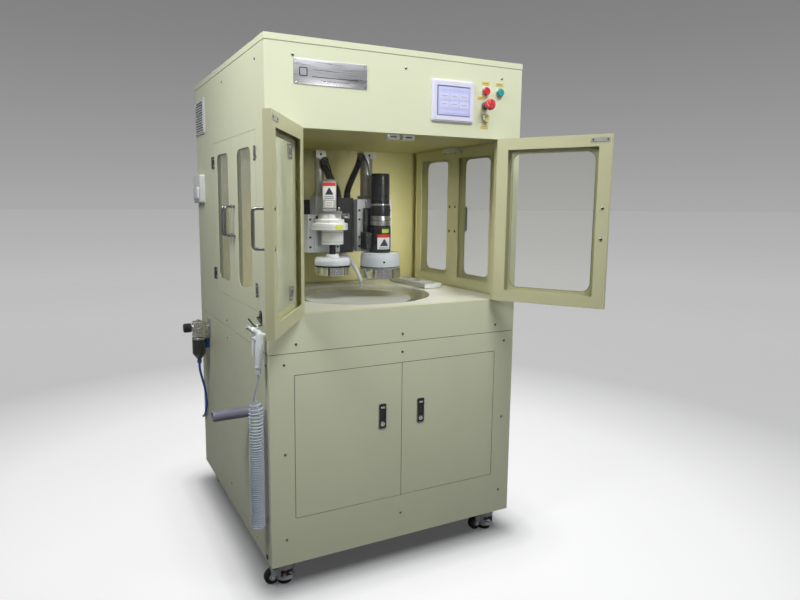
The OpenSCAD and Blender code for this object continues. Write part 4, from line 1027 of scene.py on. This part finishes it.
# ------------ deck, platen and tray
p = Piece("pad_disc")
p.turn([(0, 868.2), (199.6, 868.2), (199.6, 872.9), (0, 873)], 1.2, 128, pad_mat, SPINDLE)
p.stand_for("polishing_pad")
p = Piece("platen_disc")
p.turn([(0, 843), (60, 843), (203, 843.1), (203, 868), (0, 868)], 1.5, 128, platen_mat, SPINDLE)
p.add(drum(813, 846, 60, 2, 64), platen_mat, SPINDLE)
p.add(drum(639, 820, 25, 1, 48), platen_mat, SPINDLE)
p.stand_for("platen")
p = Piece("tray")
p.cad("loading_tray", tray_mat, 1.6)
for i in range(3):
    p.add(drum(902.0, 902.6, 30, 0.2, 64), smoky if i == 1 else tray_mat, T(335, -80 + i * 97, 0))
p.stand_for("loading_tray")

# ------------ slides, cylinders, heads
# the upright axes of the polishing and the conditioning head
POLISH_X, CONDITION_X, HEAD_Y = 95, -101, -125
p = Piece("slides")
p.cad("slide_units", by_face(lambda c: grey_paint if c.z < 1226 else cast), 1.2)
# cap screws on the two slide units, each given by its left side, width, foot and height
for left, wide, foot, height in ((POLISH_X - 71.5, 147, 1041, 198), (CONDITION_X - 76, 127, 1042, 139)):
    for z in (20, 56, 122, 156):
        if z < height - 10:
            M = T(left, -75, foot + z)
            p.add(drum(0, 3.4, 4.3, 0.6, 24), black_plastic,
                  *[M @ T(x, 0.5, 0) @ R("X", 90) for x in (8, wide - 8)], M @ T(0.5, 46, 0) @ R("Y", -90))
# each cap gets a dark disc, painted shade for its air port, and four steel screws
for x, r, z in ((85, 24, 1417), (-112, 17, 1416)):
    p.add(drum(0, 1.2, 4.5, 0.4, 24), shade_and_print_dark, T(x, -25 - r - 2, z - 12) @ R("X", 90))
    for sx in (3 - r, r - 3):
        p.add(drum(0, 1.6, 2.6, 0.4, 16), steel, *[T(x + sx, -25 + sy, z - 0.2) for sy in (r - 3, 3 - r)])
p.add(drum(0, 20, 2.4, 0.6, 16), steel, T(108, -25, 1404) @ R("Y", 90))
p.stand_for("slide_units")


def stripes(z0, z1, r, step=5.0, deep=0.9):
    out, z = [(r - deep, z0)], z0
    while z + step <= z1 + 0.01:
        out += [(r, z + 0.3), (r, z + step - 1.1), (r - deep, z + step - 0.8), (r - deep, z + step)]
        z += step
    return out


POL = T(POLISH_X, HEAD_Y, FLOOR)
p = Piece("polish_head_body")
p.add(lathe([(51, 862), (51, 859), (76.6, 859)] + stripes(859.6, 896, 78) + [(70, 896.4), (0, 896.4)], 96),
      chrome, POL)
p.add(lathe([(0, 862.5), (51, 862.5)], 96), ivory_disc, POL)
p.turn([(0, 896), (74, 896), (74, 936), (71, 948), (70.6, 953), (0, 953)], 5.5, 96, ivory_disc, POL, steps=5)
# a dark disc on the head's side: painted shade in a hole
p.add(drum(0, 0.9, 4.2, 0.3, 24), shade_and_print_dark, POL @ R("Z", -105) @ T(74.0, 0, 921) @ R("Y", 90))
p.add(hoop(899, 902, 73.6, 75.2, 0.5, 96), rubber_and_gap_shade, POL)
p.add(drum(950, 986, 12, 0.8, 40), chrome, POL)
p.stand_for("polish_head")

p = Piece("polish_drive_body")
p.turn([(12.06, 990), (12.06, 953.5), (37, 953.5), (40, 957), (40, 1050), (37, 1055.5), (0, 1055.5)], 1.2, 64,
       motor_black, POL)
for k in range(8):
    p.add(drum(1055.2, 1057.0, 2.6, 0.5, 16), steel, POL @ R("Z", 45 * k + 12) @ T(33, 0, 0))
    p.add(rbox((39.2, -5.5, 960), (40.8, 5.5, 1046), 0.6), motor_black, POL @ R("Z", 45 * k + 34))
p.add(drum(1055, 1091, 37, 1.5, 64), steel, POL)
p.turn([(36.6, 1072), (37.4, 1072.6), (37.4, 1074), (36.6, 1074.6)], 0.3, 64, dark_chrome, POL)
p.add(drum(1091, 1129, 38, 1.5, 64), motor_black, POL)
p.add(drum(1129, 1136, 35.5, 0.8, 64), chrome, POL)
p.turn([(0, 1136), (34.2, 1136), (35, 1139), (35, 1238), (33.6, 1247.8), (0, 1248)], 1.2, 64, motor_black,
       POL)
for k in range(4):
    p.turn([(34.8, 1160 + 20 * k), (35.5, 1160.6 + 20 * k), (35.5, 1162.4 + 20 * k), (34.8, 1163 + 20 * k)],
           0.3, 64, motor_black, POL)
    p.add(drum(1247.4, 1249.0, 2.6, 0.5, 16), steel, POL @ R("Z", 90 * k + 20) @ T(26, 0, 0))
# bracket block beside the gearbox and the carriage plate behind it
p.add(rbox((33, -131, 1052), (75, -84, 1116), 2.0), black_coat)
p.add(rbox((43, -100, 1106), (151, -84, 1206), 2.0), black_coat)
for z in (1062, 1106):
    for x in (39, 52):
        p.add(drum(0, 3, 3.4, 0.6, 20), dark_chrome, T(x, -131, z) @ R("X", 90))
# generic notices: a white card with a red band and a plain triangle, and a lime card
p.add(patch(40.8, -131, -57, 967, 1023), label_white, POL)
p.add(patch(41.0, -131, -57, 1011, 1023), label_red, POL)
for i in range(6):
    half = 22.0 * (1 - i / 6.5)
    p.add(patch(41.05, -94 - half, -94 + half, 979 + 4.2 * i, 983.3 + 4.2 * i), label_dark, POL)
for z in (970, 974):
    p.add(patch(41.05, -122, -66, z, z + 1.2), label_dark, POL)
p.add(patch(40.8, -107, -64, 1028.5, 1042.5), lime_tag, POL)
LEAD_P = [(36, -94.5, 1394), (36, -105, 1393), (38, -115, 1386), (41, -122, 1373), (43, -126, 1356),
          (45, -127, 1341), (47, -127, 1331), (50, -127, 1324), (54, -127, 1320.5), (57, -127, 1320),
          (60.5, -127, 1320)]
p.add(tube(catmull(LEAD_P, 4), 2.5, 12), black_plastic)
p.turn([(0, 0), (5, 0), (5, 4), (3, 7), (0, 7)], 0.6, 24, black_plastic, T(61, -127, 1320) @ R("Y", -90))
p.stand_for("polish_drive")

CON = T(CONDITION_X, HEAD_Y, FLOOR)
p = Piece("conditioner_head_body")
p.add(lathe([(50, 881), (50, 878), (62.8, 878)] + stripes(878.4, 908, 64, 4.8) + [(60, 908.4), (0, 908.4)],
            96), chrome, CON)
p.add(lathe([(0, 881.2), (50, 881.2)], 96), dark_chrome, CON)
p.add(drum(908, 912.5, 65, 0.8, 96), rubber_and_gap_shade, CON)
p.turn([(0, 912), (66, 912), (66, 930), (62, 940), (57, 941), (0, 941)], 5, 96, ivory_disc, CON, steps=5)
p.turn([(0, 940), (23, 940), (23, 950), (21, 952), (0, 952)], 1.2, 48, white_plastic, CON)
p.add(drum(940.6, 943.0, 2.8, 0.5, 20), steel, *[CON @ R("Z", 60 * k) @ T(36, 0, 0) for k in range(6)])
p.add(drum(950, 1006, 12, 0.8, 40), motor_black, CON)
p.stand_for("conditioner_head")

GEAR = CON @ T(-11, 0, 0)
TURN = GEAR @ R("Z", -26)
p = Piece("conditioner_drive_body")
p.turn([(12.06, 1008), (12.06, 989), (40, 989), (40, 1042), (0, 1042)], 1.4, 96, white_plastic, CON)
gear = lathe(rounded([(0, 1041.2), (64, 1041.2), (66, 1043), (66, 1064), (64, 1066.4), (53, 1066.5),
                      (53, 1079), (51, 1080.4), (42.5, 1080.5), (42.5, 1101), (0, 1101)], 1.4), 96)
p.add(trimmed(gear, 41.2), white_plastic, GEAR)
for z in (997, 1031):
    p.turn([(39.6, z), (40.5, z + 0.6), (40.5, z + 2), (39.6, z + 2.6)], 0.3, 64, grey_plastic, CON)
p.add(lathe(rounded([(65.6, 1053), (66.3, 1053.5), (66.3, 1054.6), (65.6, 1055.1)], 0.2), 72, -218, 38),
      grey_plastic, GEAR)
p.add(drum(1066, 1068.6, 3.0, 0.6, 20), steel,
      *[GEAR @ R("Z", 60 * k - 175) @ T(59.5, 0, 0) for k in range(4)])
plate_shape = rbox((-45, -45, 1101), (45, 30, 1110), 1.2)
p.add(trimmed(([tuple(R("Z", -26) @ Vector(v)) for v in plate_shape[0]], plate_shape[1]), 41.2), steel, GEAR)
for x in (-34, 34):
    for y in (-34, 20):
        p.add(drum(1109, 1118, 4.0, 0.8, 6), steel, TURN @ T(x, y, 0))
        p.add(drum(1117, 1122, 2.4, 0.6, 20), chrome, TURN @ T(x, y, 0))
p.add(rbox((-24, -24, 1109), (24, 24, 1214), 3.0, 3), grey_paint, TURN)
p.add(rbox((-23.4, -23.4, 1213), (23.4, 23.4, 1223), 3.0, 3), cast, TURN)
p.add(rbox((-24.3, -24.3, 1118), (24.3, 24.3, 1120), 0.4), dark_chrome, TURN)
# generic notices on the motor's front
F = TURN @ T(0, -24, 0) @ R("X", 90)
p.add(slab(45, 62, 1, 0.05, 0.5, 0.1), label_white, F @ T(0, 1180.5, 0))
p.add(slab(45, 13, 0.5, 0.4, 0.7, 0.1), label_red, F @ T(0, 1205, 0))
for i in range(6):
    p.add(slab(28 * (1 - i / 6.5), 4.1, 0.2, 0.4, 0.75, 0.1), label_dark, F @ T(0, 1170 + 4 * i, 0))
for z in (1155, 1161):
    p.add(slab(34, 1.6, 0.2, 0.4, 0.7, 0.1), label_dark, F @ T(0, z, 0))
p.add(slab(29, 22, 1, 0.05, 0.5, 0.1), label_white, F @ T(0, 1134, 0))
for z in (1129, 1135, 1140):
    p.add(slab(21, 1.2, 0.2, 0.4, 0.7, 0.1), label_dark, F @ T(0, z, 0))
p.add(patch(66.2, -95, -69, 1045, 1061), lemon_tag, GEAR)
# clear junction box on the right of the upper drum
p.add(rbox((40, -22, 1082), (60, 16, 1100), 2.0), clear_part, CON)
p.add(rbox((42, -18, 1084), (56, 12, 1089), 1.0), grey_plastic, CON)
p.add(rbox((-50, 20, 1040), (45, 41, 1092), 2.0), black_coat, CON)
LEAD_C = [(-114, -94.5, 1378), (-114, -103, 1377), (-112, -111, 1370), (-108, -116, 1356), (-104, -118, 1340),
          (-102, -119, 1325), (-101, -119, 1315), (-101, -119, 1308.6)]
p.add(tube(catmull(LEAD_C, 4), 2.5, 12), black_plastic)
p.stand_for("conditioner_drive")

p = Piece("slurry_arm_body")
ARM = [(-16, -27, 1022), (-15, -45, 1021), (-13, -73, 1014), (-10, -101, 999), (-6, -129, 976),
       (-2, -151, 950), (0, -157, 936)]
line = catmull(ARM, 6)
p.add(tube(line, [9.4 - 2.0 * i / (len(line) - 1) for i in range(len(line))], 20), grey_plastic)
p.add(drum(1008, 1035.5, 15, 2.0, 40), grey_plastic, T(-16, -27, 0))
p.add(drum(1035, 1039, 6, 0.8, 6), steel, T(-16, -27, 0))
p.turn([(2.2, 914), (5, 914), (5, 932), (7.8, 936), (7.8, 943), (5, 945)], 0.6, 32, clear_part, T(0, -157, 0))
p.stand_for("slurry_arm")

# two corrugated conduits, from the slide units up to the motors
p = Piece("conduits")
LC = [(-34, -23, 1244.3), (-34, -23, 1254), (-37, -24, 1266), (-44, -27, 1280), (-57, -32, 1298),
      (-72, -39, 1318), (-88, -48, 1338), (-101, -56, 1355), (-110, -65, 1369), (-114, -77, 1377),
      (-114, -91, 1378)]
RC = [(4, -23, 1244.3), (4, -23, 1256), (5, -25, 1270), (8, -29, 1286), (14, -37, 1308), (21, -45, 1330),
      (28, -53, 1350), (34, -61, 1370), (36, -69, 1385), (36, -79, 1393), (36, -91, 1394)]
STEP = 1.6  # a quarter of a corrugation
for pts in (LC, RC):
    fine = catmull(pts, 12)
    out = [fine[0]]
    for q in fine[1:]:
        while (q - out[-1]).length >= STEP:
            out.append(out[-1] + (q - out[-1]).normalized() * STEP)
    wave = [12.9, 12.9, 11.0, 11.0]
    p.add(tube(out, [wave[i % 4] for i in range(len(out))], 24), black_plastic)
    for q, s in ((out[0], out[1]), (out[-1], out[-2])):
        d = (s - q).normalized()
        quat = d.to_track_quat("Z", "Y").to_matrix().to_4x4()
        p.turn([(0, -0.1), (13.6, -0.1), (13.6, 9), (12.6, 11), (0, 11)], 0.8, 32, black_coat,
               Matrix.Translation(q) @ quat)
p.stand_for("cable_conduits")

# ------------ casters
for c, (sx, sy) in {"front_left": (-1, -1), "front_right": (1, -1), "rear_left": (-1, 1),
                    "rear_right": (1, 1)}.items():
    C = T(sx * 400, sy * 415, 0)
    swivel, wheel = "caster_swivel_" + c, "caster_wheel_" + c
    p = Piece("housing_" + c)
    p.cad(swivel, caster_mat, 1.6, 3)
    p.turn([(33.0, 70), (34.2, 71), (34.2, 77), (33.0, 79)], 0.8, 64, caster_mat, C)
    p.stand_for(swivel)
    ring = Piece("thumb_ring_" + c)
    ring.add(hoop(33, 47, 8.6, 21, 1.0, 48), ring_red, C)
    for k in range(16):
        ring.add(rbox((20.4, -1.4, 34.5), (22.6, 1.4, 45.5), 0.6), ring_red, C @ R("Z", 22.5 * k))
    ring.done("cabinet")
    p = Piece("wheel_" + c)
    W = C @ R("Z", 180 if c == "rear_left" else 0) @ T(-43, 0, 26) @ R("X", 90)
    p.turn([(11, -9.2), (14, -10.5), (22.4, -10.5), (25, -7.6), (25, 7.6), (22.4, 10.5), (14, 10.5),
            (11, 9.2), (11, -9.2)], 1.4, 64, rubber_and_gap_shade, W)
    p.add(hoop(-9.6, 9.6, 4, 12.4, 1.0, 48), grey_plastic, W)
    p.add(drum(-19.4, 19.4, 4, 0.6, 32), steel, W)
    for s in (-1, 1):
        p.add(drum(17.0, 19.9, 6.4, 0.8, 6), steel, W @ R("X", 90 - 90 * s))
    p.stand_for(wheel)

# ------------ floor, world and lights
fv, ff = lathe([(r / MM, 0.0) for r in (0.0, 0.6, 1.2, 2.0, 3.0, 4.5, 7.0, 11.0, 18.0, 40.0, 120.0)], 96)
me = bpy.data.meshes.new("studio_floor")
me.from_pydata([(x * MM, y * MM, -0.0006) for x, y, z in fv], [], ff)
m, t, b, out = shader("floor_sweep")
place = own_space(t)
reach = node(t, "VectorMath", Vector=place)
reach.operation = "LENGTH"
# nearness: 1 at the middle, falling towards 0 at the horizon
near = math_node(t, "DIVIDE", 6.0, math_node(t, "ADD", reach.outputs["Value"], 6.0))
# squared distance from the cabinet's footprint along X and Y
squares = []
axes = node(t, "SeparateXYZ", Vector=place)
for axis, half in (("X", 0.43), ("Y", 0.44)):
    gone = math_node(t, "SUBTRACT", math_node(t, "ABSOLUTE", axes.outputs[axis]), half)
    gone = math_node(t, "MAXIMUM", gone, 0.0)
    squares.append(math_node(t, "MULTIPLY", gone, gone))
away = math_node(t, "SQRT", math_node(t, "ADD", *squares))
# painted contact shadow: the floor's glow is dimmed close round the cabinet's footprint
foot = ramp(t, away, [(0.0, 0.08), (0.04, 0.26), (0.09, 0.64), (0.16, 0.90), (0.29, 1.0)])
# the glow, brightest near the cabinet, is a painted pool of light that also lifts the cast shadows there
glow = ramp(t, near, [(0.0, 0.392), (0.05, 0.396), (0.23, 0.432), (0.40, 0.49), (0.55, 0.50), (0.70, 0.45),
                      (0.80, 0.70), (1.0, 0.84)])
grey = ramp(t, near, [(0.3, 0.0), (0.45, 0.03), (0.7, 0.20), (0.8, 0.25), (1.0, 0.28)])
feed(t, b, Base_Color=grey, Emission_Color=mixed(t, 1.0, glow, foot, "MULTIPLY"), Emission_Strength=1.0,
     Specular_IOR_Level=0.2, Roughness=spread(t, noise(t, place, 3), 0.62, 0.72))
# what the floor throws back onto the cabinet is a dull grey, and its mirror image there is dimmed
rays = node(t, "LightPath").outputs
seen = math_node(t, "ADD", rays["Is Diffuse Ray"], math_node(t, "MULTIPLY", rays["Is Glossy Ray"], 0.6))
either_shader(t, out, seen, b, node(t, "BsdfDiffuse", Color=(0.08, 0.08, 0.08, 1)))
me.materials.append(m)
link_object("studio_floor", me)

world = bpy.data.worlds.new("studio")
scene.world = world
world.use_nodes = True
t = world.node_tree
t.nodes.clear()
axes = node(t, "SeparateXYZ", Vector=node(t, "TexCoord").outputs["Generated"]).outputs
sky = ramp(t, spread(t, axes["Z"], 0.0, 1.0, 0.0, 1.0),
           [(0.0, 0.397), (0.052, 0.352), (0.146, 0.287), (0.235, 0.235), (0.32, 0.202), (0.7, 0.22)])
# what the surroundings throw onto the cabinet is dimmer than what is seen, most of all from the left
thrown = node(t, "Mix", Factor=node(t, "LightPath").outputs["Is Diffuse Ray"], A=1.0,
              B=spread(t, axes["X"], 0.14, 0.72, -0.8, 0.4))
air_glow = node(t, "Background", Color=sky, Strength=thrown.outputs["Result"])
node(t, "OutputWorld", Surface=air_glow.outputs[0])


def area(name, place, aim, size, power, colour=(1, 1, 1)):
    d = bpy.data.lights.new(name, "AREA")
    d.shape = "RECTANGLE"
    d.size, d.size_y = size
    d.energy = power
    d.color = colour
    o = link_object(name, d)
    o.location = place
    o.rotation_mode = "QUATERNION"
    o.rotation_quaternion = (Vector(aim) - Vector(place)).to_track_quat("-Z", "Y")
    return o


area("key", (0.52, -2.0, 3.35), (0.05, -0.4, 1.35), (1.3, 0.8), 58, (0.94, 0.97, 1.0))
side = area("side", (-1.5, -0.85, 2.5), (-0.46, -0.25, 1.5), (0.5, 1.1), 9.5, (0.97, 0.985, 1.0))
side.data.spread = math.radians(95)
area("top", (0.2, 0.2, 3.9), (0, 0, 1.0), (2.4, 2.4), 26)
area("back", (1.8, 3.6, 3.2), (0, 0, 1.0), (2.4, 2.0), 30)
flash = area("flash", (0.45, -3.0, 1.5), (-0.05, 0.2, 1.2), (0.35, 0.35), 0.8)
flash.data.spread = math.radians(50)
# two lamps inside: one under the header for the deck, one for the wall behind the heads
for name, place, aim, size, power, wide in (
        ("chamber", (0.0, -0.36, 1.425), (0.0, 0.05, 0.85), (0.62, 0.10), 0.78, 110),
        ("chamber_back", (0.31, -0.32, 1.13), (0.27, 0.42, 1.09), (0.14, 0.42), 0.48, 66)):
    inner = area(name, place, aim, size, power, (1.0, 0.985, 0.94))
    inner.data.spread = math.radians(wide)
    inner.visible_camera = False
    inner.visible_glossy = False
